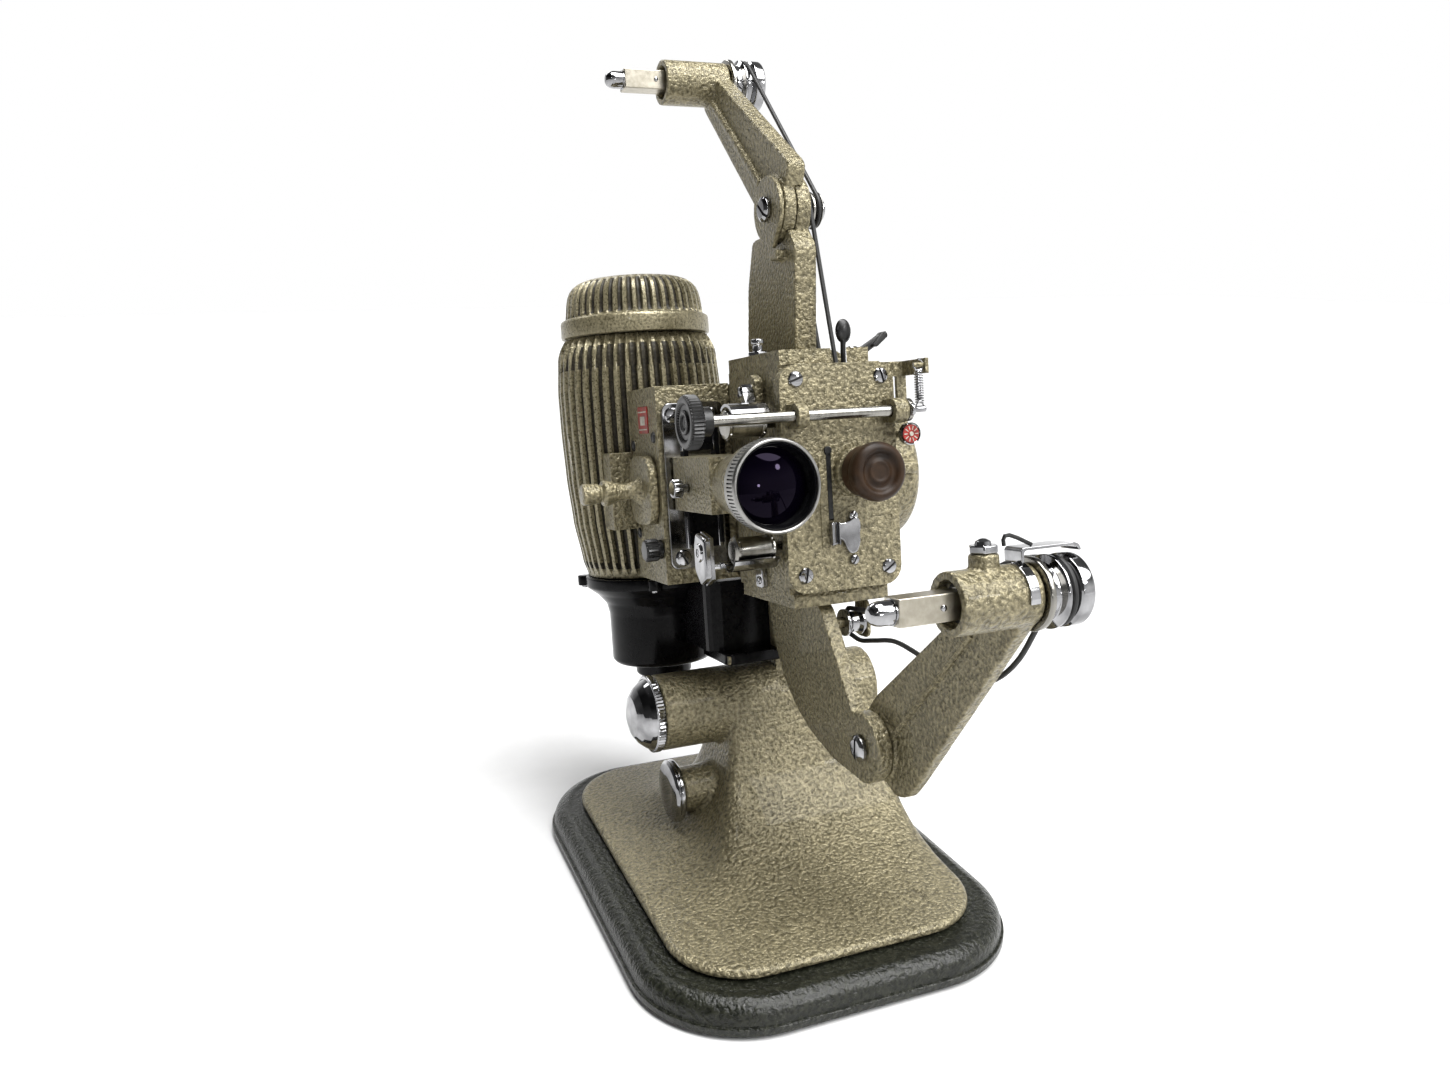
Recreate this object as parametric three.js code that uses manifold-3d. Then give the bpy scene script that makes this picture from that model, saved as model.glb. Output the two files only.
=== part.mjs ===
// Compact cine film projector on a tilting pedestal.
//
// Frame: -Y the way the lens looks, +Z up, +X to the left as the lens looks (the gear case's side), millimetres.
// The origin is the centre of the plinth's underside. Everything above the pivot is drawn in the
// head's own upright frame, and one group turns it to its rest tilt, lens up.

import * as THREE from "three";
import { mergeVertices } from "three/addons/utils/BufferGeometryUtils.js";
import Module from "manifold-3d";

const wasm = await Module();
wasm.setup();

// ---------------------------------------------------------------- driving dimensions

const PLINTH = { width: 150, depth: 200.5, corner: 43.5, pad: 1.2, bottom: 1.5, top: 12.6 };
const FOOT = { side: 61.1, front: -85.5, back: 86.7, corner: 28.9, bottom: 12.9 };
const PIVOT = { y: 24, z: 69 };
const REST_TILT = THREE.MathUtils.degToRad(9);
const BARREL = { radius: 15.9, left: -37, right: 61 };
const TILT_AXIS = { y: 19, z: 34.4 };

const FILM_X = -17; // optical axis and film plane, left of the gear case
const LENS_Z = 165.5;
const LAMP = { x: FILM_X, y: 79 };
const MOTOR = { x: -15, y: 77 };
const CASE = { left: -5, right: 36.4, front: -49, back: -2, bottom: 124, top: 207.5, wall: 3 };
const REAR = { left: -1.2, front: -1.6, back: 38, top: 204, wall: 2.2 };
const COVER = { left: -7.2, right: 39.2, bottom: 124.7, top: 207.1, face: -54, back: -49.3 };
const MAIN_SHAFT = { x: 21.5, z: 167.7 };
const SHUTTER = { x: 6.5, z: 167, radius: 27.4 };
const ROD = { y: -60, z: 188.8, radius: 2 };
const CRANK_Y = -63.4;
const DIAL = { x: 41, z: 180 };
const SIDE_GEAR = { y: -15, z: 165 };
const GATE = { front: 5, back: 7.6 };

const UPPER_SPROCKET = { y: -44, z: 187.3 };
const LOWER_SPROCKET = { y: -45.5, z: 142 };
const UPPER_KEEPER = { y: -33, z: 199 };
const LOWER_KEEPER = { y: -36, z: 136 };

const UPPER_ELBOW = { y: -9, z: 270 };
const UPPER_BOSS = { y: 52.5, z: 335.5 };
const LOWER_ELBOW = { y: -72.3, z: 70.5 };
const LOWER_BOSS = { y: -154.5, z: 134.1 };
const UPPER_DRIVE = { y: -28, z: 196 };
const IDLER = { y: -42, z: 110 };
const HUB_RADIUS = 12.7;
const BOSS_RADIUS = 9.2;
const WEB = { left: 15.6, right: 23 };
const LOWER_SHIFT = -2.5; // the lower boss and pulley stand this much further out than the upper ones

const GAP = 0.3; // running gap between faceted neighbours
const PIN = 2.6; // elbow pin radius
const BELT = 0.9; // belt section radius
const BELT_SEAT = BELT + 0.25; // belt centreline above a groove's floor

// ---------------------------------------------------------------- solids

/** Closed geometry to a solid, outward facing, with shared vertices merged. */
function solid(geometry) {
  const bare = geometry.clone();
  bare.deleteAttribute("normal");
  bare.deleteAttribute("uv");
  const merged = mergeVertices(bare, 1e-4);
  const point = merged.attributes.position;
  const corners = [];
  for (let i = 0; i < merged.index.count; i += 3) {
    const [a, b, c] = [0, 1, 2].map((k) => merged.index.getX(i + k));
    if (a !== b && b !== c && c !== a) corners.push([a, b, c]);
  }
  const at = (i) => new THREE.Vector3().fromBufferAttribute(point, i);
  const volume = corners.reduce((sum, [a, b, c]) => sum + at(a).dot(at(b).cross(at(c))), 0);
  const facing = volume < 0 ? corners.map(([a, b, c]) => [a, c, b]) : corners;
  return new wasm.Manifold(
    new wasm.Mesh({
      numProp: 3,
      vertProperties: new Float32Array(point.array),
      triVerts: new Uint32Array(facing.flat()),
    }),
  );
}

const join = (first, ...others) => others.reduce((sum, piece) => sum.add(piece), first);
const cut = (first, ...others) => others.reduce((rest, piece) => rest.subtract(piece), first);

/** Box between two corners. */
function block(x0, x1, y0, y1, z0, z1) {
  const geometry = new THREE.BoxGeometry(x1 - x0, y1 - y0, z1 - z0);
  return solid(geometry.translate((x0 + x1) / 2, (y0 + y1) / 2, (z0 + z1) / 2));
}

/** Profile of [radius, height] points turned about an axis; at gives the axis's two other coordinates. */
function turned(axis, profile, at, sides = 16) {
  const closed = profile[0][0] > 0 && profile.at(-1)[0] > 0 ? [...profile, profile[0]] : profile;
  const geometry = new THREE.LatheGeometry(closed.map(([r, h]) => new THREE.Vector2(r, h)), sides);
  if (axis === "x") geometry.rotateZ(-Math.PI / 2).translate(0, at[0], at[1]);
  if (axis === "y") geometry.translate(at[0], 0, at[1]);
  if (axis === "z") geometry.rotateX(Math.PI / 2).translate(at[0], at[1], 0);
  return solid(geometry);
}

function rod(axis, radius, at, from, to, sides = 16) {
  return turned(axis, [[0, from], [radius, from], [radius, to], [0, to]], at, sides);
}

/** Outline in the two other axes, in their order, extruded along axis from one place to another. */
function prism(axis, outline, from, to) {
  const shape = new THREE.Shape(outline.map(([u, v]) => new THREE.Vector2(u, v)));
  const geometry = new THREE.ExtrudeGeometry(shape, { depth: to - from, bevelEnabled: false });
  const basis = new THREE.Matrix4();
  const [X, Y, Z] = [[1, 0, 0], [0, 1, 0], [0, 0, 1]].map((v) => new THREE.Vector3(...v));
  if (axis === "x") geometry.applyMatrix4(basis.makeBasis(Y, Z, X)).translate(from, 0, 0);
  if (axis === "y") geometry.applyMatrix4(basis.makeBasis(X, Z, Y.negate())).translate(0, to, 0);
  if (axis === "z") geometry.translate(0, 0, from);
  return solid(geometry);
}

/** Points of a rectangle with its own radius at each corner, anticlockwise from the front right. */
function roundedRectangle(left, right, front, back, radii, steps = 5) {
  const [fr, br, bl, fl] = Array.isArray(radii) ? radii : [radii, radii, radii, radii];
  const corners = [
    [right - fr, front + fr, fr, -90],
    [right - br, back - br, br, 0],
    [left + bl, back - bl, bl, 90],
    [left + fl, front + fl, fl, 180],
  ];
  return corners.flatMap(([u, v, r, start]) =>
    Array.from({ length: steps + 1 }, (_, i) => {
      const angle = THREE.MathUtils.degToRad(start + (90 * i) / steps);
      return [u + r * Math.cos(angle), v + r * Math.sin(angle)];
    }),
  );
}

/** Skin over level outlines of equal point count, each {z, points}, closed by flat caps. */
function loft(rings) {
  const count = rings[0].points.length;
  const places = rings.flatMap(({ z, points }) => points.flatMap(([x, y]) => [x, y, z]));
  const faces = [];
  for (let level = 0; level < rings.length - 1; level++) {
    for (let i = 0; i < count; i++) {
      const [a, b] = [level * count + i, level * count + ((i + 1) % count)];
      faces.push(a, b, b + count, a, b + count, a + count);
    }
  }
  const last = (rings.length - 1) * count;
  for (let i = 1; i < count - 1; i++) faces.push(0, i + 1, i, last, last + i, last + i + 1);
  const geometry = new THREE.BufferGeometry();
  geometry.setAttribute("position", new THREE.Float32BufferAttribute(places, 3));
  geometry.setIndex(faces);
  return solid(geometry);
}

/** Spur gear outline with slim teeth, one of them centred on the angle phase. */
function gearOutline(centre, teeth, pitchRadius, phase) {
  const pitch = (2 * Math.PI) / teeth;
  const flanks = [[-0.3, -1.1], [-0.13, 0.8], [0.13, 0.8], [0.3, -1.1]];
  return Array.from({ length: teeth }, (_, tooth) =>
    flanks.map(([turn, rise]) => {
      const angle = phase + (tooth + turn * 0.8) * pitch;
      const radius = pitchRadius + rise;
      return [centre[0] + radius * Math.cos(angle), centre[1] + radius * Math.sin(angle)];
    }),
  ).flat();
}

/** Sector of a ring about a point, as an outline. */
function ringSector(centre, inner, outer, fromDegrees, toDegrees, steps = 8) {
  const arc = (radius, a, b) =>
    Array.from({ length: steps + 1 }, (_, i) => {
      const angle = THREE.MathUtils.degToRad(a + ((b - a) * i) / steps);
      return [centre[0] + radius * Math.cos(angle), centre[1] + radius * Math.sin(angle)];
    });
  return [...arc(outer, fromDegrees, toDegrees), ...arc(inner, toDegrees, fromDegrees)];
}

/** Endless belt of round section through a closed run of points in roughly one X plane. */
function belt(points) {
  const [sides, count] = [6, points.length];
  const places = points.flatMap((point, i) => {
    const [before, after] = [points[(i + count - 1) % count], points[(i + 1) % count]];
    const length = Math.hypot(after[1] - before[1], after[2] - before[2]);
    const out = [(after[2] - before[2]) / length, -(after[1] - before[1]) / length];
    return Array.from({ length: sides }, (_, side) => {
      const angle = (2 * Math.PI * side) / sides;
      const reach = BELT * Math.cos(angle);
      return [point[0] + BELT * Math.sin(angle), point[1] + reach * out[0], point[2] + reach * out[1]];
    }).flat();
  });
  const faces = [];
  for (let i = 0; i < count; i++) {
    for (let side = 0; side < sides; side++) {
      const [here, next] = [i * sides, ((i + 1) % count) * sides];
      const turn = (side + 1) % sides;
      faces.push(here + side, next + side, next + turn, here + side, next + turn, here + turn);
    }
  }
  const geometry = new THREE.BufferGeometry();
  geometry.setAttribute("position", new THREE.Float32BufferAttribute(places, 3));
  geometry.setIndex(faces);
  return solid(geometry);
}

/** Points of a taut belt round two pulleys on parallel X shafts, each {x, y, z, r}. */
function tautRun(a, b) {
  const heading = Math.atan2(b.z - a.z, b.y - a.y);
  const lean = Math.acos((a.r - b.r) / Math.hypot(b.y - a.y, b.z - a.z));
  const wrap = ({ x, y, z, r }, from, to) =>
    Array.from({ length: 9 }, (_, i) => {
      const angle = from + ((to - from) * i) / 8;
      return [x, y + r * Math.cos(angle), z + r * Math.sin(angle)];
    });
  const far = wrap(b, heading - lean, heading + lean);
  const near = wrap(a, heading + lean, heading - lean + 2 * Math.PI);
  const between = (p, q) => [0.25, 0.5, 0.75].map((t) => p.map((v, i) => v + (q[i] - v) * t));
  return [...far, ...between(far.at(-1), near[0]), ...near, ...between(near.at(-1), far[0])];
}

// ---------------------------------------------------------------- materials and placing

const FINISH = {
  hammertone: [0x96906a, 0.42, 0.55],
  wrinkle: [0x2f322c, 0.5, 0.2],
  chrome: [0xd4d6d8, 0.14, 1],
  steel: [0xa9a8a2, 0.32, 1],
  black: [0x0c0c0d, 0.18, 0.05],
  rubber: [0x121212, 0.7, 0],
  bakelite: [0x4a2413, 0.3, 0.05],
  red: [0xb4231c, 0.4, 0.05],
  glass: [0x9aa4c8, 0.05, 0],
  brass: [0xb08d4a, 0.3, 1],
};

const projector = new THREE.Group();
const head = new THREE.Group();
head.position.set(0, PIVOT.y, PIVOT.z);
head.rotation.x = -REST_TILT;
projector.add(head);
const upright = new THREE.Group();
upright.position.set(0, -PIVOT.y, -PIVOT.z);
head.add(upright);

function place(parent, name, finish, shape) {
  const { vertProperties, triVerts } = shape.getMesh();
  const geometry = new THREE.BufferGeometry();
  geometry.setAttribute("position", new THREE.BufferAttribute(vertProperties, 3));
  geometry.setIndex(new THREE.BufferAttribute(triVerts, 1));
  geometry.computeVertexNormals();
  const [color, roughness, metalness] = FINISH[finish];
  const mesh = new THREE.Mesh(geometry, new THREE.MeshStandardMaterial({ color, roughness, metalness }));
  mesh.name = name;
  parent.add(mesh);
}

const onBase = (name, finish, shape) => place(projector, name, finish, shape);
const onHead = (name, finish, shape) => place(upright, name, finish, shape);
const axisOf = ({ y, z }) => [y, z];

// ---------------------------------------------------------------- base

function plinth() {
  const steps = [[1.5, 0], [4.4, 0], [4.8, 0.9], [8, 1.3], [10.6, 3.2], [12.1, 6], [12.6, 9]];
  const rings = steps.map(([z, inset]) => ({
    z,
    points: roundedRectangle(
      -PLINTH.width / 2 + inset, PLINTH.width / 2 - inset,
      -PLINTH.depth / 2 + inset, PLINTH.depth / 2 - inset, PLINTH.corner - inset,
    ),
  }));
  return loft(rings);
}

function basePad() {
  const inset = 3;
  const [side, end] = [PLINTH.width / 2 - inset, PLINTH.depth / 2 - inset];
  return prism("z", roundedRectangle(-side, side, -end, end, PLINTH.corner - inset), 0, PLINTH.pad);
}

/** Foot plate that flares up into the column, hollow from below, with the pivot barrel across its top. */
function footCasting() {
  const { side, front, back, corner, bottom } = FOOT;
  const right = BARREL.right;
  const ring = (z, l, f, b, r, near) => ({ z, points: roundedRectangle(l, right, f, b, [near, near, r, r]) });
  const plate = (z, inset) => ({
    z,
    points: roundedRectangle(-side + inset, side - inset, front + inset, back - inset, corner - inset),
  });
  const outer = loft([
    plate(bottom, 0), plate(15.3, 0), plate(16.5, 1.4),
    ring(17.2, -47, -66, 76, 30, 22), ring(18.6, -36.6, -49, 66, 26, 16), ring(20.8, -29.6, -38, 61, 23, 13),
    ring(24, -25, -28, 56.5, 20, 10), ring(30, -19.6, -16, 51, 18, 7), ring(40, -14.5, -4, 46, 15, 4.5), ring(52, -11, 3, 43, 13, 3.5),
    ring(69, -9, 8, 40, 12, 3),
  ]);
  const inside = (z, l, r, f, b, radius) => ({ z, points: roundedRectangle(l, r, f, b, radius) });
  const inner = loft([
    inside(12, -29, 55, -35, 59, 12), inside(18, -27, 55, -32, 57, 11), inside(24, -20, 56, -21, 51, 9),
    inside(32, -13, 57, -8, 45, 7), inside(42, -8, 57, 2, 41, 5), inside(52, -5.5, 57, 9, 38, 4),
  ]);
  const barrel = rod("x", BARREL.radius, axisOf(PIVOT), BARREL.left, BARREL.right, 28);
  const stub = turned("x", [[0, -28.9], [9.6, -28.9], [9.6, -20], [12.5, -8], [0, -8]], axisOf(TILT_AXIS), 16);
  const bearing = rod("x", 7, axisOf(TILT_AXIS), 51.5, 58);
  const shell = join(cut(join(outer, barrel, stub), inner), bearing);
  return cut(
    shell,
    block(15.9, 36.1, 10.5, 37.5, 44, 92),
    rod("x", 4 + GAP, axisOf(PIVOT), BARREL.left - 1, 59.2),
    rod("x", 1.6, axisOf(PIVOT), 59, 62, 12),
    rod("x", 4 + GAP, axisOf(TILT_AXIS), -30, 55),
  );
}

function clampDome() {
  const profile = [
    [0, -49.2], [5, -48.7], [9.6, -47], [12.8, -44.4], [14.4, -41.4], [15, -40.6],
    [16.2, -40.4], [16.2, -37.6], [15.4, -37.3], [0, -37.3],
  ];
  return turned("x", profile, axisOf(PIVOT), 24);
}

function tiltKnob() {
  const profile = [
    [0, -34.3], [8, -34.2], [11.8, -33.7], [13.2, -32.8], [13.2, -32.2], [12.8, -31.9], [13.2, -31.5],
    [13.2, -30.3], [12.2, -29.5], [4, -29.4], [4, 54], [0, 54],
  ];
  const cam = rod("x", 7.5, [TILT_AXIS.y + 2, TILT_AXIS.z], 20, 28);
  return join(turned("x", profile, axisOf(TILT_AXIS), 20), cam);
}

onBase("base_pad", "rubber", basePad());
onBase("plinth", "wrinkle", plinth());
onBase("foot_casting", "hammertone", footCasting());
onBase("pivot_shaft", "steel", rod("x", 4, axisOf(PIVOT), -36.6, 58.6));
onBase("clamp_dome", "chrome", clampDome());
onBase("tilt_knob", "chrome", tiltKnob());

// ---------------------------------------------------------------- gear case and drive

function headBracket() {
  const hub = rod("x", 12, axisOf(PIVOT), 16.3, 35.7, 24);
  return cut(
    join(
      hub,
      block(16.3, 35.7, 17, 31, 70, 89),
      block(-8, 38, 10, 40, 88, 91.6),
      block(15, 36, 5, 18.6, 91, 123.7),
      block(21, 27, 20, 28, 46, 60),
    ),
    rod("x", 4 + GAP, axisOf(PIVOT), 16, 36),
  );
}

function gearCase() {
  const { left, right, front, back, bottom, top, wall } = CASE;
  const keeperPost = (at) => rod("x", 2.5, at, -9, left + 1, 12);
  const body = join(
    block(left, right, front, back, bottom, top),
    block(-4.7, 31.4, -50, back, top - 0.1, 212.7),
    block(-4, 35, -50, back, 119, bottom + 0.2),
    rod("y", 5.5, [34, 209], -16, -4),
    keeperPost(axisOf(UPPER_KEEPER)),
    keeperPost(axisOf(LOWER_KEEPER)),
  );
  const beltNotch = [[15, -52], [21, -52], [32, -36], [32, -14.5], [24, -14.5], [24, -34]];
  return cut(
    body,
    block(left + wall, right - wall, front - 2, back - wall, bottom + wall, top - wall),
    prism("z", beltNotch, 203, 214),
    rod("x", 2 + GAP, axisOf(UPPER_SPROCKET), left - 1, left + wall + 1),
    rod("x", 2 + GAP, axisOf(LOWER_SPROCKET), left - 1, left + wall + 1),
    rod("y", 2.5 + GAP, [MAIN_SHAFT.x, MAIN_SHAFT.z], back - wall - 1, back + 1),
  );
}

function frontCover() {
  const { left, right, bottom, top, face, back } = COVER;
  const lug = (from, to) =>
    join(
      rod("x", 4.3, [ROD.y, ROD.z], from, to),
      block(from, to, ROD.y, face + 1, ROD.z - 4.3, ROD.z + 4.3),
    );
  return cut(
    join(
      prism("y", roundedRectangle(left, right, bottom, top, 7), face, back),
      lug(-4.6, -0.8),
      lug(34, 39.4),
      rod("y", 8.5, [MAIN_SHAFT.x, MAIN_SHAFT.z], -57, face + 1, 16),
    ),
    rod("x", ROD.radius + GAP, [ROD.y, ROD.z], -6, 41),
    rod("y", 2.5 + GAP, [MAIN_SHAFT.x, MAIN_SHAFT.z], -58, back + 1),
    block(9.4, 11.8, face - 1, face + 1.6, 150.5, 177),
  );
}

function rearCase() {
  const { left, front, back, top, wall } = REAR;
  return cut(
    block(left, CASE.right, front, back, CASE.bottom, top),
    block(left + wall, CASE.right - wall, front + wall, back - wall, CASE.bottom + wall, top - wall),
    block(left - 1, left + 4, 10.6, 13.6, 136, 198),
    block(4, 30, 20, 33, CASE.bottom - 1, CASE.bottom + 4),
    rod("y", 2.5 + GAP, [MAIN_SHAFT.x, MAIN_SHAFT.z], front - 1, front + 4),
  );
}

/** Round cup on the gear case's right side, with a small lug on its front edge. */
function sideGearCover() {
  const cup = [
    [0, 58.6], [19, 58.6], [24.6, 57.4], [26.6, 55], [27, 51], [27, 36.8],
    [24.8, 36.8], [24.8, 50.6], [23, 55], [0, 56.2],
  ];
  const lug = rod("x", 2.6, [SIDE_GEAR.y - 28, SIDE_GEAR.z + 2], 36.8, 54, 12);
  return join(turned("x", cup, axisOf(SIDE_GEAR), 28), lug);
}

/** Shaft behind the inching knob: worm for the sprockets, gear for the shutter. */
function mainShaft() {
  const { x, z } = MAIN_SHAFT;
  const profile = [
    [0, -56.8], [2.5, -56.8], [2.5, -40], [5, -39], [5, -29], [2.5, -28], [2.5, 9], [0, 9],
  ];
  const towards = Math.atan2(SHUTTER.z - z, SHUTTER.x - x);
  const gear = prism("y", gearOutline([x, z], 24, 10.6, towards), 4, 7);
  return join(turned("y", profile, [x, z], 16), gear);
}

/** Two-bladed disc with its hub and pinion, between lamp and gate. */
function shutter() {
  const { x, z, radius } = SHUTTER;
  const towards = Math.atan2(MAIN_SHAFT.z - z, MAIN_SHAFT.x - x);
  const pinion = prism("y", gearOutline([x, z], 10, 4.42, towards + Math.PI / 10), 4, 7);
  const window = (start) => prism("y", ringSector([x, z], 10, radius + 3, start, start + 70), 11, 14);
  const disc = cut(rod("y", radius, [x, z], 11.6, 12.6, 32), window(55), window(235));
  return join(disc, rod("y", 3, [x, z], 2.4, 18, 12), pinion);
}

function inchingKnob() {
  const profile = [
    [0, -57.4], [6.4, -57.4], [6.4, -60.4], [8.6, -61], [10.3, -62.6], [10.65, -65], [10.65, -70.4],
    [9.9, -72.6], [8.4, -73.6], [7, -73.7], [6.2, -73], [5.4, -72.5], [4, -72.8], [0, -73.2],
  ];
  return turned("y", profile, [MAIN_SHAFT.x, MAIN_SHAFT.z], 20);
}

/** Thumb latch on the cover: a folded channel at the slot's foot and a rounded tab. */
function framingLever() {
  const tab = [
    [12.4, 148.6], [17, 149.4], [20.8, 152.2], [21.6, 149.6], [20.9, 146], [21.2, 141.4],
    [19.8, 138.2], [17.2, 137.8], [15.4, 139.8], [14.6, 143], [12.4, 144],
  ];
  return join(block(9.2, 12.8, -57.2, -54.4, 141.6, 149.8), prism("y", tab, -55.6, -54.4));
}

function sprocket(axis) {
  const profile = [
    [0, -25.5], [4.2, -25.5], [5.2, -24.8], [5.2, -10.2], [4.2, -9.6], [2, -9.6],
    [2, 1], [3.5, 1], [3.5, 5], [0, 5],
  ];
  return turned("x", profile, axisOf(axis), 16);
}

/** Film shoe over the upper sprocket, on an arm back to its pivot. */
function upperKeeper() {
  const { y, z } = UPPER_KEEPER;
  const shoe = ringSector(axisOf(UPPER_SPROCKET), 6.4, 7.5, 48, 150);
  const arm = [[-39.6, 191.8], [-38.6, 193.8], [y - 1.6, z + 2], [y + 1.8, z - 1.6]];
  return join(
    prism("x", shoe, -24, -9.4),
    prism("x", arm, -13.5, -9.4),
    rod("x", 3, [y, z], -13.5, -9.4, 12),
  );
}

/** Film shoe under the lower sprocket, with its cross pin and shield-shaped finger plate. */
function lowerKeeper() {
  const { y, z } = LOWER_KEEPER;
  const shoe = ringSector(axisOf(LOWER_SPROCKET), 6.4, 7.5, 205, 312);
  const arm = [[-41.8, 136.2], [-40.4, 137.6], [y, z + 1.4], [y, z - 1.4]];
  const shield = [[-41, 147], [-32, 149], [-29.5, 144], [-29.5, 134], [-35, 129], [-41, 132]];
  return join(
    prism("x", shoe, -27, -9.6),
    prism("x", arm, -27, -9.6),
    rod("x", 1.6, [y, z], -31, -9.6, 12),
    prism("x", shield, -32, -30.6),
  );
}

function controlRod() {
  return join(
    rod("x", ROD.radius, [ROD.y, ROD.z], -36.2, 41, 12),
    rod("x", 4.2, [ROD.y, ROD.z], 39.8, 41.6, 12),
    rod("x", 1.2, [CRANK_Y, ROD.z], 41, 46.4, 10),
  );
}

function rodKnob() {
  const profile = [
    [0, -46], [3, -46], [3.4, -45.2], [6.6, -45.2], [7, -46], [8.4, -46], [9.35, -45.2], [9.35, -41.4],
    [8.6, -41], [5, -41], [5, -36.5], [0, -36.5],
  ];
  return turned("x", profile, [ROD.y, ROD.z], 20);
}

/** Angle plate that carries the spring's hook and the dial's stem. */
function springBracket() {
  const [back, front] = [-47.2, -48.9];
  return join(
    block(36.8, 47.6, front, back, 201.5, 207),
    block(43.6, 47.6, front, back, 176, 207),
    block(39.7, 47.6, front, back, 176, 184),
    block(46.2, 47.6, -65, back, 201.5, 207),
    rod("x", 0.9, [CRANK_Y, 204.6], 42, 46.6, 10),
    rod("y", 1.3, [DIAL.x, DIAL.z], -59.2, back, 12),
  );
}

function redDial() {
  const profile = [
    [0, -62.2], [1.2, -62.2], [1.3, -61.6], [3.4, -61.6], [3.6, -62], [4.1, -62], [4.1, -59.6], [0, -59.6],
  ];
  return turned("y", profile, [DIAL.x, DIAL.z], 20);
}

function spoonLever() {
  const bowl = new THREE.SphereGeometry(1, 16, 10).scale(3.4, 1.5, 4.8).translate(35.3, -24, 221);
  return join(rod("z", 1.1, [34.8, -24], 207.9, 218, 10), solid(bowl));
}

function flatLever() {
  const arm = [[33.6, 208.6], [36, 208.6], [44, 213.6], [49.6, 218], [48.6, 220], [42.6, 216.4], [34, 211.6]];
  const paddle = [[43, 214.2], [44.4, 213.6], [49.8, 217.8], [48.6, 220]];
  return join(
    prism("y", arm, -32, -30.4),
    prism("y", paddle, -34, -28.4),
    rod("z", 1.4, [34.8, -31.2], 207.9, 210, 10),
  );
}

onHead("head_bracket", "hammertone", headBracket());
onHead("gear_case", "hammertone", gearCase());
onHead("front_cover", "hammertone", frontCover());
onHead("rear_case", "hammertone", rearCase());
onHead("side_gear_cover", "hammertone", sideGearCover());
onHead("main_shaft", "steel", mainShaft());
onHead("shutter", "black", shutter());
onHead("inching_knob", "bakelite", inchingKnob());
onHead("framing_lever", "chrome", framingLever());
onHead("upper_sprocket", "steel", sprocket(UPPER_SPROCKET));
onHead("lower_sprocket", "steel", sprocket(LOWER_SPROCKET));
onHead("upper_keeper", "chrome", upperKeeper());
onHead("lower_keeper", "chrome", lowerKeeper());
onHead("control_rod", "steel", controlRod());
onHead("rod_knob", "black", rodKnob());
onHead("rod_spring", "steel", rod("z", 1.7, [44.2, CRANK_Y], 190.3, 203.3, 12));
onHead("spring_bracket", "hammertone", springBracket());
onHead("red_dial", "red", redDial());
onHead("spoon_lever", "black", spoonLever());
onHead("flat_lever", "black", flatLever());

// ---------------------------------------------------------------- lamphouse and motor

/** Bulged shell; the fins' crests lie on this surface. */
function lamphouseBody() {
  const skin = [
    [29.5, 122.7], [31.6, 130], [34.6, 148], [36.3, 168], [37.1, 190], [37.2, 206], [36.4, 220], [32.4, 229.6],
  ];
  const wall = 3;
  const lining = skin.filter((_, i) => i % 2 === 1).toReversed().map(([r, z]) => [r - wall, z]);
  const shell = turned("z", [...skin, ...lining], [LAMP.x, LAMP.y], 32);
  return cut(shell, block(FILM_X - 12, FILM_X + 12, 38, 60, 128, 201));
}

function lamphouseCap() {
  const profile = [
    [0, 256.8], [16, 256.2], [25.4, 253.8], [30, 248.6], [31.2, 241], [31.4, 238.6], [33.6, 238],
    [33.8, 230.1], [30.2, 230.1], [29.6, 240], [27.6, 247], [23, 251], [0, 253.6],
  ];
  return turned("z", profile, [LAMP.x, LAMP.y], 32);
}

/** Square light tunnel from the lamphouse to the gate. */
function lampBox() {
  return cut(
    block(-33, -1.5, 8, 54, 124.6, 204.4),
    block(-30.4, -4.1, 10.4, 56, 127.2, 201.8),
    rod("y", 11, [FILM_X, LENS_Z], 7, 12),
    rod("z", 37.6, [LAMP.x, LAMP.y], 120, 210, 32),
    block(-5, 0, 10.6, 13.6, 136, 198),
  );
}

function gatePlate() {
  const plate = prism("y", roundedRectangle(-31.5, -5.6, 131, 197.3, 3, 4), GATE.front, GATE.back);
  return cut(plate, block(FILM_X - 5.2, FILM_X + 5.2, 4, 9, LENS_Z - 3.8, LENS_Z + 3.8));
}

/** Rounded pad on the lamp box's left side with a turned finger grip. */
function lampAdjuster() {
  const at = [25, 162.8];
  const pad = prism("x", roundedRectangle(10.5, 39, 148.5, 177, 8, 5), -36.6, -33.3);
  const grip = [
    [0, -61.6], [3.4, -61.4], [5, -60.2], [5.4, -58.2], [5, -56.4], [3.9, -54.6], [3.9, -52.8], [5.4, -50.6],
    [5.8, -48], [5.2, -45.4], [4, -42.8], [4.2, -40], [6.4, -37.6], [8, -36.2], [0, -36.2],
  ];
  return join(pad, turned("x", grip, at, 12));
}

function motorHousing() {
  const profile = [
    [0, 73.6], [11.4, 73.6], [13, 75], [13, 80.6], [21.5, 80.6], [23.5, 82.6], [23.5, 104], [24.6, 109],
    [28.4, 113.6], [33.5, 117.6], [33.5, 122.2], [31, 122.2], [31, 118.9], [26.2, 115.6], [22.4, 110.6],
    [21.2, 104.6], [21.2, 87.4], [0, 87.4],
  ];
  const lugs = [70, 160, 250, 340].map((degrees) => {
    const angle = THREE.MathUtils.degToRad(degrees);
    return rod("z", 3.2, [MOTOR.x + 34 * Math.cos(angle), MOTOR.y + 34 * Math.sin(angle)], 117.6, 122.2, 12);
  });
  return join(turned("z", profile, [MOTOR.x, MOTOR.y], 28), ...lugs);
}

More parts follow.
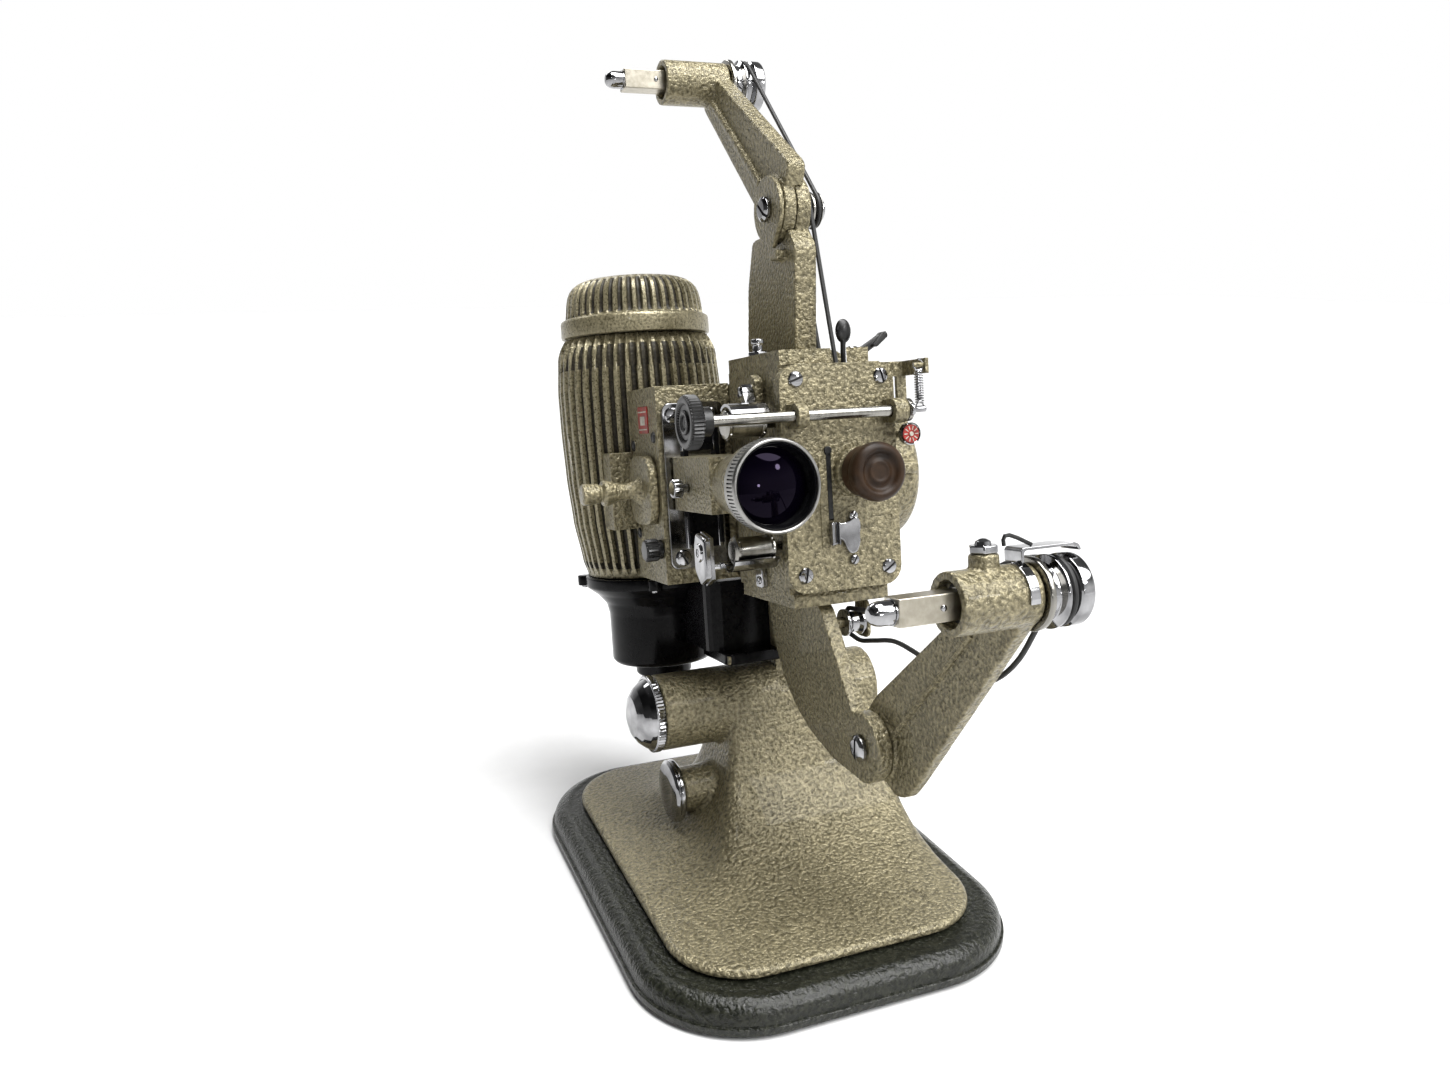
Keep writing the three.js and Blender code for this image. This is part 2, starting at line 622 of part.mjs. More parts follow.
/** Box that takes the motor's drive across to the gear case. */
function driveHousing() {
  const clearance = [[0, 78], [24.2, 78], [24.2, 104], [25.6, 109.4], [34.6, 117], [38, 118], [38, 126], [0, 126]];
  return cut(
    prism("z", roundedRectangle(-12, 36, 19.2, 62, 6, 4), 92.2, 122),
    turned("z", clearance, [MOTOR.x, MOTOR.y], 20),
    block(8, 32, 23, 42, 96, 124),
  );
}

function motorRotor() {
  const profile = [
    [0, 88.2], [2, 88.2], [2, 91], [13, 91], [13, 105], [2, 105], [2, 111.4], [0, 111.4],
  ];
  return turned("z", profile, [MOTOR.x, MOTOR.y], 12);
}

function fan() {
  const blades = Array.from({ length: 6 }, (_, i) => {
    const angle = THREE.MathUtils.degToRad(60 * i + 15);
    const blade = new THREE.BoxGeometry(16, 1.2, 4).rotateX(0.5).translate(11.5, 0, 0).rotateZ(angle);
    return solid(blade.translate(MOTOR.x, MOTOR.y, 114.4));
  });
  return join(rod("z", 5, [MOTOR.x, MOTOR.y], 111.8, 117, 12), ...blades);
}

function lampBulb() {
  const profile = [
    [0, 140.4], [6, 140.4], [7, 146], [10.5, 152], [11, 160], [11, 188], [9.4, 196], [5, 200.6], [0, 201.8],
  ];
  return turned("z", profile, [LAMP.x, LAMP.y], 12);
}

function lampSocket() {
  return turned("z", [[0, 124.4], [11, 124.4], [11, 130], [8.6, 131], [8.6, 140], [0, 140]], [LAMP.x, LAMP.y], 12);
}

function reflector() {
  const bowl = [[0, 101], [9, 99.6], [15, 96.4], [15, 95.2], [9, 98.4], [0, 99.8]];
  return turned("y", bowl, [FILM_X, LENS_Z], 12);
}

function condenser() {
  const profile = [[0, 15.8], [6, 16.4], [10.4, 18], [10.4, 20.8], [6, 22.4], [0, 23]];
  return turned("y", profile, [FILM_X, LENS_Z], 12);
}

onHead("lamphouse_body", "hammertone", lamphouseBody());
onHead("lamphouse_cap", "hammertone", lamphouseCap());
onHead("lamp_box", "hammertone", lampBox());
onHead("gate_plate", "chrome", gatePlate());
onHead("lamp_adjuster", "hammertone", lampAdjuster());
onHead("box_knob", "black", rod("x", 4.6, [12.2, 139], -40.6, -33.3, 12));
onHead("motor_housing", "black", motorHousing());
onHead("drive_housing", "black", driveHousing());
onHead("motor_rotor", "steel", motorRotor());
onHead("fan", "steel", fan());
onHead("lamp_bulb", "glass", lampBulb());
onHead("lamp_socket", "brass", lampSocket());
onHead("reflector", "chrome", reflector());
onHead("condenser", "glass", condenser());

// ---------------------------------------------------------------- lens

/** Square block against the gate that flares to the lens's front ring. */
function lensHolder() {
  const flare = [[0, -59.8], [15.8, -59.8], [15.2, -57], [11.6, -36], [0, -36]];
  const screwHole = rod("x", 1.7, [-12.8, 164.3], -30, FILM_X, 12);
  return cut(
    join(block(-29, -8, -37, 3.6, LENS_Z - 10.5, LENS_Z + 10.5), turned("y", flare, [FILM_X, LENS_Z], 24)),
    block(-7.6, 6, -55, -30, 140, 190),
    rod("y", 7.5 + GAP, [FILM_X, LENS_Z], -61, 5),
    screwHole,
  );
}

function lensBarrel() {
  const profile = [
    [7.5, -4], [7.5, -60.2], [15.6, -60.2], [16.6, -61.4], [16.6, -69.9], [16, -70.7], [15.1, -70.7],
    [14.6, -62.4], [6, -62.4], [6, -4],
  ];
  return turned("y", profile, [FILM_X, LENS_Z], 20);
}

function lensGlass() {
  const profile = [[0, -67.8], [5, -67.5], [10, -66.4], [14.2, -64.6], [14.2, -63], [0, -62.8]];
  return turned("y", profile, [FILM_X, LENS_Z], 16);
}

function lensClampScrew() {
  const profile = [
    [0, -35.6], [3.3, -35.6], [3.6, -35.2], [3.6, -31.8], [1.7, -31.6], [1.7, -29.3], [1.4, -29.3],
    [1.4, -25.6], [0, -25.6],
  ];
  return turned("x", profile, [-12.8, 164.3], 12);
}

onHead("lens_holder", "hammertone", lensHolder());
onHead("lens_barrel", "steel", lensBarrel());
onHead("lens_glass", "glass", lensGlass());
onHead("lens_clamp_screw", "chrome", lensClampScrew());

// ---------------------------------------------------------------- reel arms

/** Spindle with rounded nose, square reel seat, shaft and two-groove pulley. */
function spindle(axis, shift) {
  const profile = [
    [0, -31], [1.8, -30.7], [3, -29.6], [3.5, -27.6], [3.5, -6.4], [4.6, -6.4], [4.6, 23.2 + shift],
    [11, 23.2 + shift], [11, 25 + shift], [8.6, 26.4 + shift], [8.6, 28.4 + shift], [11, 29.4 + shift],
    [11, 30.4 + shift], [8.6, 31.2 + shift], [8.6, 33.2 + shift], [11.05, 34.4 + shift],
    [11.05, 38 + shift], [9.6, 39 + shift], [0, 39 + shift],
  ];
  const half = 3.97;
  const { y, z } = axis;
  return join(turned("x", profile, [y, z], 20), block(-23.4, -6.4, y - half, y + half, z - half, z + half));
}

/** Folding arm's hub, web and spindle boss, bored for pin and spindle. */
function foldingArm(elbow, boss, web, webRight, hubRight, bossRight) {
  return cut(
    join(
      prism("x", web, WEB.left, webRight),
      rod("x", HUB_RADIUS, axisOf(elbow), 14.6, hubRight, 24),
      rod("x", BOSS_RADIUS, axisOf(boss), -6, bossRight, 16),
    ),
    rod("x", PIN + GAP, axisOf(elbow), 14, 26),
    rod("x", 4.6 + GAP, axisOf(boss), -7, bossRight + 1),
  );
}

function upperFixedArm() {
  const elbow = axisOf(UPPER_ELBOW);
  const outline = [
    [-19.4, 213.1], [-1.8, 213.1], [-1.8, 204.5], [27, 204.5], [27.4, 219], [23.6, 243.5], [16.3, 262],
    [0, 262], [-16, 264], [-24, 254],
  ];
  return cut(
    join(
      cut(prism("x", outline, 16.5, 25.8), rod("x", HUB_RADIUS + 0.5, elbow, 14, 19.9, 24)),
      rod("x", HUB_RADIUS, elbow, 20, 25.8, 24),
      block(12.4, 16.9, -15.6, -9.4, 250, 253.6),
    ),
    rod("x", PIN + GAP, elbow, 19, 27),
  );
}

function upperFoldArm() {
  const web = [[47, 338], [-24.4, 284.6], [-21.6, 278.4], [-12, 262], [-3, 262], [6.7, 271.6], [60.4, 327.5]];
  const arm = foldingArm(UPPER_ELBOW, UPPER_BOSS, web, WEB.right, 19.6, 22.8);
  return cut(arm, rod("x", HUB_RADIUS + 0.5, axisOf(UPPER_ELBOW), 19.7, 24, 24));
}

function lowerFixedArm() {
  const elbow = axisOf(LOWER_ELBOW);
  const outline = [
    [4.2, 118.6], [0, 100], [-9.5, 83.1], [-19, 74], [-30.7, 67.2], [-50, 60.6], [-71.8, 57.9],
    [-74, 70], [-66, 83], [-44.7, 118.6],
  ];
  const lugPlate = roundedRectangle(IDLER.y - 5, IDLER.y + 5, 103.6, 118.6, 3, 3);
  return cut(
    join(
      prism("x", outline, 8.5, 14.3),
      rod("x", HUB_RADIUS, elbow, 8.5, 14.3, 24),
      rod("x", 1.8, axisOf(IDLER), 14, 28, 12),
      prism("x", lugPlate, 27.3, 28.8),
    ),
    rod("x", PIN + GAP, elbow, 8, 15),
  );
}

function lowerFoldArm() {
  const web = [
    [-63, 79], [-69.9, 87.1], [-147.5, 139.5], [-160.5, 128], [-97, 62.5], [-89.3, 55.5], [-81.7, 54.2],
    [-75.8, 58.1], [-64, 62],
  ];
  const oilNeck = rod("z", 4.2, [6.5, LOWER_BOSS.y], LOWER_BOSS.z + 6, 147.2, 12);
  const arm = foldingArm(LOWER_ELBOW, LOWER_BOSS, web, 20.3, 20.3, 22.8 + LOWER_SHIFT);
  return join(arm, oilNeck);
}

/** Slotted elbow pin: head on the left, retaining nut on the right. */
function elbowPin(elbow, headLeft, headRight, nutLeft) {
  const profile = [
    [0, headLeft], [3.4, headLeft], [4.9, headLeft + 0.9], [4.9, headRight], [PIN, headRight],
    [PIN, nutLeft], [4, nutLeft], [4, nutLeft + 2], [0, nutLeft + 2],
  ];
  const slot = block(headLeft - 1, headLeft + 1.1, elbow.y - 6, elbow.y + 6, elbow.z - 0.6, elbow.z + 0.6);
  return cut(turned("x", profile, axisOf(elbow), 20), slot);
}

/** Teardrop friction washer whose point keys into the fixed arm. */
function elbowWasher() {
  const { y, z } = UPPER_ELBOW;
  const drop = [...ringSector([y, z], 0, HUB_RADIUS, -55, 235, 20).slice(0, 21), [y - 3.5, z - 15.6]];
  return cut(prism("x", drop, 12.2, 14.3), rod("x", PIN + GAP, [y, z], 12, 15));
}

function elbowPulley() {
  const profile = [
    [PIN + GAP, 26.1], [7, 26.1], [5.4, 27.2], [5.4, 28.6], [7, 29.6], [7, 30.5], [5.4, 31.5], [5.4, 32.9],
    [7, 33.7], [PIN + GAP, 33.7],
  ];
  return turned("x", profile, axisOf(UPPER_ELBOW), 16);
}

function drivePulley() {
  const profile = [
    [0, 8], [2, 8], [2, 25.6], [6, 25.6], [6, 26.4], [4.6, 27.2], [4.6, 28.6], [6, 29.4], [6, 30.2],
    [2, 30.2], [2, 33], [0, 33],
  ];
  return turned("x", profile, axisOf(UPPER_DRIVE), 12);
}

function idlerRoller() {
  const profile = [
    [2.1, 19.4], [5.2, 19.4], [5.2, 20.6], [4, 21.8], [4, 24.6], [5.2, 25.8], [5.2, 27], [2.1, 27],
  ];
  return turned("x", profile, axisOf(IDLER), 12);
}

/** Slack belt from the idler to the lower reel pulley, hanging below the straight line. */
function lowerBelt() {
  const groove = 32.2 + LOWER_SHIFT;
  const wrap = ({ y, z }, x, r, from, to, steps) =>
    Array.from({ length: steps + 1 }, (_, i) => {
      const angle = THREE.MathUtils.degToRad(from + ((to - from) * i) / steps);
      return [x, y + r * Math.cos(angle), z + r * Math.sin(angle)];
    });
  const reel = wrap(LOWER_BOSS, groove, 8.6 + BELT_SEAT, 75, 300, 10);
  const idler = wrap(IDLER, 23.2, 4 + BELT_SEAT, -80, 85, 8);
  const under = [
    [29.5, -138, 111.6], [28.8, -127, 103.2], [28, -115, 99.4], [27.1, -100, 100.2],
    [26.1, -84, 104.2], [25.4, -70, 106.4], [24.5, -57, 104.8], [23.6, -48, 103.6],
  ];
  const over = [[24.4, -58, 116.2], [25.9, -84, 121.4], [27.6, -112, 131.2], [29.3, -136, 141]];
  return belt([...reel, ...under, ...idler, ...over]);
}

/** Spring clip that keeps the belt in the lower pulley's groove. */
function beltGuard() {
  const [front, back] = [LOWER_BOSS.y - 4, LOWER_BOSS.y + 4];
  return join(
    block(16.2, 17.4, front, back, 143.6, 148),
    block(16.2, 36.8, front, back, 147, 148),
    block(35.8, 36.8, front, back, 145.6, 148),
  );
}

const driveGroove = 27.9;
const reelGroove = 32.2;
const upperPulley = { ...UPPER_BOSS, x: reelGroove, r: 8.6 + BELT_SEAT };
const elbowAt = (x) => ({ ...UPPER_ELBOW, x, r: 5.4 + BELT_SEAT });
const caseDrive = { ...UPPER_DRIVE, x: driveGroove, r: 4.6 + BELT_SEAT };

onHead("upper_fixed_arm", "hammertone", upperFixedArm());
onHead("upper_elbow_washer", "hammertone", elbowWasher());
onHead("upper_elbow_pin", "chrome", elbowPin(UPPER_ELBOW, 9.6, 11.9, 34));
onHead("upper_fold_arm", "hammertone", upperFoldArm());
onHead("upper_spindle", "chrome", spindle(UPPER_BOSS, 0));
onHead("upper_elbow_pulley", "steel", elbowPulley());
onHead("upper_drive_pulley", "steel", drivePulley());
onHead("upper_drive_belt", "rubber", belt(tautRun(caseDrive, elbowAt(driveGroove))));
onHead("upper_reel_belt", "rubber", belt(tautRun(elbowAt(reelGroove), upperPulley)));
onHead("lower_fixed_arm", "hammertone", lowerFixedArm());
onHead("lower_elbow_pin", "chrome", elbowPin(LOWER_ELBOW, 5.9, 8.2, 20.6));
onHead("lower_fold_arm", "hammertone", lowerFoldArm());
onHead("lower_spindle", "chrome", spindle(LOWER_BOSS, LOWER_SHIFT));
onHead("idler_roller", "steel", idlerRoller());
onHead("lower_belt", "rubber", lowerBelt());
onHead("belt_guard", "chrome", beltGuard());

export default projector;
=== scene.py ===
"""Compact cine film projector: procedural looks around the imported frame."""

import math

import bmesh
import bpy
from mathutils import Matrix, Vector


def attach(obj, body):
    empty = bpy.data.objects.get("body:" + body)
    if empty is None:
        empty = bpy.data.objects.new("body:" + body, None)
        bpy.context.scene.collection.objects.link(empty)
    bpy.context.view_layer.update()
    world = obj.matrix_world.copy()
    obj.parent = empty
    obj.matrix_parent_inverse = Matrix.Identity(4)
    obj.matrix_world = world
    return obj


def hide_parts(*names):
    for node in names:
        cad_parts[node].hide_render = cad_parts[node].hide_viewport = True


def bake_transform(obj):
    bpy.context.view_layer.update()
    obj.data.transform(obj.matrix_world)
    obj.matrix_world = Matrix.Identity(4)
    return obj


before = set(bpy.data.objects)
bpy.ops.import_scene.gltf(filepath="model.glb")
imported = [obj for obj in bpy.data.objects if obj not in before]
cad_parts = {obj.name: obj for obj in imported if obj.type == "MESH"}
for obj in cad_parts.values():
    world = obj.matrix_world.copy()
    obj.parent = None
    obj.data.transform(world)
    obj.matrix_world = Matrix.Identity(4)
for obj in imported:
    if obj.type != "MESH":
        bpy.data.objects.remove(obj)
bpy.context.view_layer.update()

# ---------------- frame

# Points are millimetres in the projector's own frame: -Y the way the lens looks, +Z up and +X to the left as
# the lens looks, on the gear case's side. A pair is a place in the two axes left over: (y, z) for what turns
# about X, (x, z) for Y and (x, y) for Z. HEAD takes such a point to the world, leaning the head on its pivot.
MM = Matrix.Scale(0.001, 4)
PIVOT = (24, 69)
TILT = (19, 34.4)
HEAD_LEAN = math.radians(-9)
HEAD = (
    MM
    @ Matrix.Translation((0, *PIVOT))
    @ Matrix.Rotation(HEAD_LEAN, 4, "X")
    @ Matrix.Translation((0, -PIVOT[0], -PIVOT[1]))
)
BASE = MM
FILM_X = -17
LENS_Z = 165.5
LENS_AXIS = (FILM_X, LENS_Z)
LENS_CLAMP = (-12.8, 164.3)
LAMP = (FILM_X, 79)
MOTOR = (-15, 77)
UPPER_ELBOW = (-9, 270)
UPPER_BOSS = (52.5, 335.5)
LOWER_ELBOW = (-72.3, 70.5)
LOWER_BOSS = (-154.5, 134.1)
OILER = (6.5, LOWER_BOSS[0])
UPPER_DRIVE = (-28, 196)
IDLER = (-42, 110)
ROD = (-60, 188.8)
CRANK_Y = -63.4
SHAFT = (21.5, 167.7)
SIDE_GEAR = (-15, 165)
DIAL = (41, 180)
ADJUSTER = (25, 162.8)
SHIELD = (-35.6, 141.5)
INLET = (47, 108)
COVER_FACE = -54
BOX_FACE = -33
ELBOW_HUB = 12.7
ELBOW_BORE = 2.9
BELT = 0.9

camera_data = bpy.data.cameras.new("camera")
camera_data.lens = 27.414
camera_data.sensor_width = 36
camera = bpy.data.objects.new("camera", camera_data)
bpy.context.scene.collection.objects.link(camera)
camera.location = (-0.17066, -0.38893, 0.25291)
yaw, pitch, roll = 0.381165, 0.250105, -0.00376
ahead = Vector((math.sin(yaw) * math.cos(pitch), math.cos(yaw) * math.cos(pitch), -math.sin(pitch)))
level = Vector((math.cos(yaw), -math.sin(yaw), 0))
above = level.cross(ahead)
right = level * math.cos(roll) + above * math.sin(roll)
up = above * math.cos(roll) - level * math.sin(roll)
camera.rotation_euler = Matrix((right, up, -ahead)).transposed().to_euler()
bpy.context.scene.camera = camera

# ---------------- materials


def remap(tree, value, low, high, to_low, to_high):
    """Carries a value from one range to another and gives the result's socket."""
    node = tree.nodes.new("ShaderNodeMapRange")
    limits = {"From Min": low, "From Max": high, "To Min": to_low, "To Max": to_high}
    for socket, limit in limits.items():
        node.inputs[socket].default_value = limit
    tree.links.new(value, node.inputs["Value"])
    return node.outputs["Result"]


def textured(name, tones, rough, metal=0.0, coat=0.0, scale=900, detail=2.0, bump=0.05,
             depth=0.0002, stretch=(1, 1, 1), sheen=0.1, cloud=0.25, span=(0.36, 0.64), **sockets):
    """Noise-driven colour, roughness and bump; stretch draws the grain out along an axis, sheen is half the
    range of the roughness and cloud the depth of the broad patches."""
    made = bpy.data.materials.new(name)
    made.use_nodes = True
    tree = made.node_tree
    bsdf = tree.nodes["Principled BSDF"]
    bsdf.inputs["Roughness"].default_value = rough
    bsdf.inputs["Metallic"].default_value = metal
    bsdf.inputs["Coat Weight"].default_value = coat
    for socket, value in sockets.items():
        bsdf.inputs[socket.replace("_", " ")].default_value = value
    new, link = tree.nodes.new, tree.links.new
    coord = new("ShaderNodeTexCoord")
    mapping = new("ShaderNodeMapping")
    mapping.inputs["Scale"].default_value = stretch
    grain = new("ShaderNodeTexNoise")
    grain.inputs["Scale"].default_value = scale
    grain.inputs["Detail"].default_value = detail
    link(coord.outputs["Object"], mapping.inputs["Vector"])
    link(mapping.outputs["Vector"], grain.inputs["Vector"])
    ramp = new("ShaderNodeValToRGB")
    ramp.color_ramp.elements[0].position = span[0]
    ramp.color_ramp.elements[1].position = span[1]
    for element, tone in zip(ramp.color_ramp.elements, tones):
        element.color = (*tone, 1)
    # The colour runs on the same noise as the bump, so the dips come out darker and the rises lighter: the
    # finish's own mottle, with painted shade and highlight on the grain.
    link(grain.outputs["Fac"], ramp.inputs["Fac"])
    patches = new("ShaderNodeTexNoise")
    patches.inputs["Scale"].default_value = 38
    patches.inputs["Detail"].default_value = 4
    link(coord.outputs["Object"], patches.inputs["Vector"])
    mix = new("ShaderNodeMix")
    mix.data_type = "RGBA"
    mix.blend_type = "MULTIPLY"
    mix.inputs["Factor"].default_value = 1
    link(ramp.outputs["Color"], mix.inputs[6])
    link(remap(tree, patches.outputs["Fac"], 0.3, 0.7, 1 - cloud, 1), mix.inputs[7])
    link(mix.outputs[2], bsdf.inputs["Base Color"])
    gloss = remap(tree, grain.outputs["Fac"], 0, 1, rough - sheen, rough + sheen)
    link(gloss, bsdf.inputs["Roughness"])
    if bump:
        rise = new("ShaderNodeBump")
        rise.inputs["Strength"].default_value = bump
        rise.inputs["Distance"].default_value = depth
        link(grain.outputs["Fac"], rise.inputs["Height"])
        link(rise.outputs["Normal"], bsdf.inputs["Normal"])
    return made


# The hammertone's dark dips and pale pebble tops are partly its own mottle and partly painted shade and
# highlight.
HAMMER = textured("hammertone_enamel", ((0.095, 0.081, 0.043), (0.3, 0.262, 0.158)), 0.32, 0.4, 0.08,
    scale=720, detail=2.5, bump=1.0, depth=0.0012, span=(0.33, 0.67), cloud=0.18)
# Darker copy of the hammertone for the groove floors of the lamphouse and its cap: painted shade in the
# grooves.
GROOVE_SHADE = textured("hammertone_groove_shade", ((0.012, 0.010, 0.006), (0.046, 0.039, 0.024)), 0.5, 0.1, bump=0.5,
    depth=0.0005, cloud=0.2, Specular_IOR_Level=0.3)
# Lighter copy of the hammertone for the ridges of the lamphouse and its cap: painted highlight on the ridge
# crowns.
FIN_LIT = textured("hammertone_fin_lit", ((0.13, 0.113, 0.065), (0.3, 0.265, 0.165)), 0.3, 0.45, 0.08, scale=1000,
    bump=0.5, depth=0.0006, span=(0.33, 0.67), cloud=0.15)
WRINKLE = textured("wrinkle_paint", ((0.0075, 0.0083, 0.0055), (0.024, 0.025, 0.017)), 0.24, scale=620,
    detail=4, bump=0.7, depth=0.0009, span=(0.4, 0.7), Specular_IOR_Level=0.32)
# The chrome's base is kept dark and mottled with broad patches to stand for the dark surroundings it mirrors:
# painted reflection.
CHROME = textured("chrome_plate", ((0.24, 0.24, 0.245), (0.5, 0.5, 0.51)), 0.09, 1.0, scale=110, detail=4,
    bump=0.04, sheen=0.06, cloud=0.3)
STEEL = textured("turned_steel", ((0.24, 0.232, 0.21), (0.31, 0.3, 0.275)), 0.22, 1.0, scale=700, bump=0,
    stretch=(1, 0.08, 0.08), cloud=0.15, sheen=0.04)
NICKEL = textured("satin_nickel", ((0.4, 0.37, 0.3), (0.5, 0.465, 0.39)), 0.33, 1.0, scale=420, detail=5,
    bump=0.06, depth=0.0001, sheen=0.08, cloud=0.22)
SPUN = textured("spun_steel", ((0.27, 0.265, 0.255), (0.36, 0.355, 0.34)), 0.32, 1.0, bump=0,
    stretch=(0.1, 1, 0.1), cloud=0.2)
ENAMEL = textured("black_enamel", ((0.0025, 0.0025, 0.003), (0.006, 0.006, 0.0065)), 0.2, scale=320,
    bump=0.06, depth=0.0003, sheen=0.05, Specular_IOR_Level=0.1)
BAKELITE = textured("black_bakelite", ((0.004, 0.004, 0.004), (0.012, 0.0115, 0.011)), 0.3, scale=240,
    detail=4, Specular_IOR_Level=0.4)
BROWN = textured("brown_bakelite", ((0.011, 0.0055, 0.0025), (0.037, 0.0185, 0.008)), 0.45, scale=130,
    detail=5, stretch=(1, 0.4, 1), cloud=0.35, Specular_IOR_Level=0.2)
RUBBER = textured("black_rubber", ((0.006, 0.006, 0.006), (0.016, 0.016, 0.016)), 0.55, scale=800, bump=0.2)
RED = textured("red_enamel", ((0.2, 0.012, 0.008), (0.4, 0.024, 0.014)), 0.35, scale=500)
CREAM = textured("cream_enamel", ((0.36, 0.33, 0.27), (0.58, 0.55, 0.47)), 0.45, scale=500)
BRASS = textured("brass", ((0.3, 0.2, 0.07), (0.45, 0.31, 0.13)), 0.3, 1.0, scale=700, depth=0.0004)
# Blackened metal for the dark parts, and painted shade in the screw slots, the lens ring's slots and the reel
# collars.
DARK_AND_SHADE = textured("blackened_metal_and_painted_shade", ((0.006, 0.006, 0.006), (0.018, 0.018, 0.017)), 0.4, 0.3, scale=600,
    bump=0.1)
LENS = textured("coated_glass", ((0.0006, 0.0004, 0.0014), (0.0015, 0.0008, 0.0035)), 0.03, scale=30,
    bump=0, sheen=0.01, IOR=1.17, Specular_Tint=(0.75, 0.6, 1.0, 1.0))
CLEAR = textured("clear_glass", ((0.85, 0.87, 0.86), (0.95, 0.95, 0.95)), 0.04, scale=40, bump=0,
    sheen=0.02, Transmission_Weight=1.0, IOR=1.5)
MIRROR = textured("mirror", ((0.85, 0.85, 0.86), (0.95, 0.95, 0.95)), 0.03, 1.0, scale=60, bump=0,
    sheen=0.02)

# ---------------- mesh helpers


def raw(verts, faces):
    """A bmesh of closed geometry in millimetres, facing outward."""
    mesh = bmesh.new()
    points = [mesh.verts.new(v) for v in verts]
    for face in faces:
        corners = []
        for index in face:
            if points[index] not in corners:
                corners.append(points[index])
        if len(corners) > 2:
            mesh.faces.new(corners)
    bmesh.ops.recalc_face_normals(mesh, faces=mesh.faces)
    return mesh


def spread(bm, name="scratch"):
    """A linked object from a bmesh, still in millimetres."""
    data = bpy.data.meshes.new(name)
    bm.to_mesh(data)
    bm.free()
    item = bpy.data.objects.new(name, data)
    bpy.context.scene.collection.objects.link(item)
    return item


def bake(item):
    """Applies an object's modifiers to its mesh."""
    graph = bpy.context.evaluated_depsgraph_get()
    data = bpy.data.meshes.new_from_object(item.evaluated_get(graph))
    old, item.data = item.data, data
    item.modifiers.clear()
    bpy.data.meshes.remove(old)
    return item


def polar(centre, radius, degrees):
    """The point at a distance and direction from a centre."""
    angle = math.radians(degrees)
    return (centre[0] + radius * math.cos(angle), centre[1] + radius * math.sin(angle))


def swivel(points, centre, degrees):
    """Points rotated about their origin, then set on a centre."""
    c, s = math.cos(math.radians(degrees)), math.sin(math.radians(degrees))
    return [(centre[0] + u * c - v * s, centre[1] + u * s + v * c) for u, v in points]


def glide(p0, p1, p2, p3, t):
    """Catmull-Rom point between p1 and p2."""
    return 0.5 * (2 * p1 + (p2 - p0) * t + (2 * p0 - 5 * p1 + 4 * p2 - p3) * t * t
                  + (3 * p1 - p0 - 3 * p2 + p3) * t ** 3)


def soften(points, radius, steps=4, closed=True):
    """Rounds each corner of an outline with a short curve of about this radius."""
    count, result = len(points), []
    for i, point in enumerate(points):
        here = Vector(point)
        if not closed and i in (0, count - 1):
            result.append(tuple(here))
            continue
        before, after = Vector(points[i - 1]), Vector(points[(i + 1) % count])
        reach = min(radius, (before - here).length * 0.48, (after - here).length * 0.48)
        if reach < 1e-4:
            result.append(tuple(here))
            continue
        start = here + (before - here).normalized() * reach
        end = here + (after - here).normalized() * reach
        for k in range(steps + 1):
            t = k / steps
            result.append(tuple(start * (1 - t) ** 2 + here * 2 * t * (1 - t) + end * t * t))
    return result


def turn(axis, h, a, b, at):
    """A point at height h along an axis, offset a and b in the two other axes, in their order."""
    if axis == "x":
        return (h, at[0] + a, at[1] + b)
    if axis == "y":
        return (at[0] + a, h, at[1] + b)
    return (at[0] + a, at[1] + b, h)


def lathe(axis, profile, at, sides=96, round_by=0.0, flutes=None, wave=None):
    """Closed turned body; flutes = (count, depth, low, high, sharpness) cuts grooves between heights,
    and wave(index, r, h, angle) gives a radius of its own."""
    if round_by:
        profile = soften(profile, round_by, 3, closed=False)
    looped = profile[0][0] > 1e-6 and profile[-1][0] > 1e-6
    verts, faces = [], []
    for r, h in profile:
        for k in range(sides):
            angle = 2 * math.pi * k / sides
            reach = r
            if flutes and flutes[2] <= h <= flutes[3]:
                reach -= flutes[1] * (0.5 - 0.5 * math.cos(flutes[0] * angle)) ** flutes[4]
            if wave:
                reach = wave(len(verts) // sides, r, h, angle)
            verts.append(turn(axis, h, reach * math.cos(angle), reach * math.sin(angle), at))
    rings = len(profile)
    for ring in range(rings if looped else rings - 1):
        for k in range(sides):
            a, b = ring * sides + k, ring * sides + (k + 1) % sides
            c, d = ((ring + 1) % rings) * sides + (k + 1) % sides, ((ring + 1) % rings) * sides + k
            faces.append((a, b, c, d))
    bm = raw(verts, faces)
    bmesh.ops.remove_doubles(bm, verts=bm.verts, dist=1e-5)
    bmesh.ops.recalc_face_normals(bm, faces=bm.faces)
    return bm


def cylinder(axis, radius, low, high, at, *options):
    """Plain turned body between two heights; the options are those of lathe."""
    return lathe(axis, [(0, low), (radius, low), (radius, high), (0, high)], at, *options)


def prism(axis, outline, low, high):
    """Outline in the two other axes, extruded along an axis."""
    verts = [turn(axis, h, u, v, (0, 0)) for h in (low, high) for u, v in outline]
    n = len(outline)
    faces = [tuple(range(n)), tuple(range(2 * n - 1, n - 1, -1))]
    faces += [(i, (i + 1) % n, n + (i + 1) % n, n + i) for i in range(n)]
    return raw(verts, faces)


def block(x0, x1, y0, y1, z0, z1):
    """Box between two limits on each axis."""
    return prism("z", [(x0, y0), (x1, y0), (x1, y1), (x0, y1)], z0, z1)


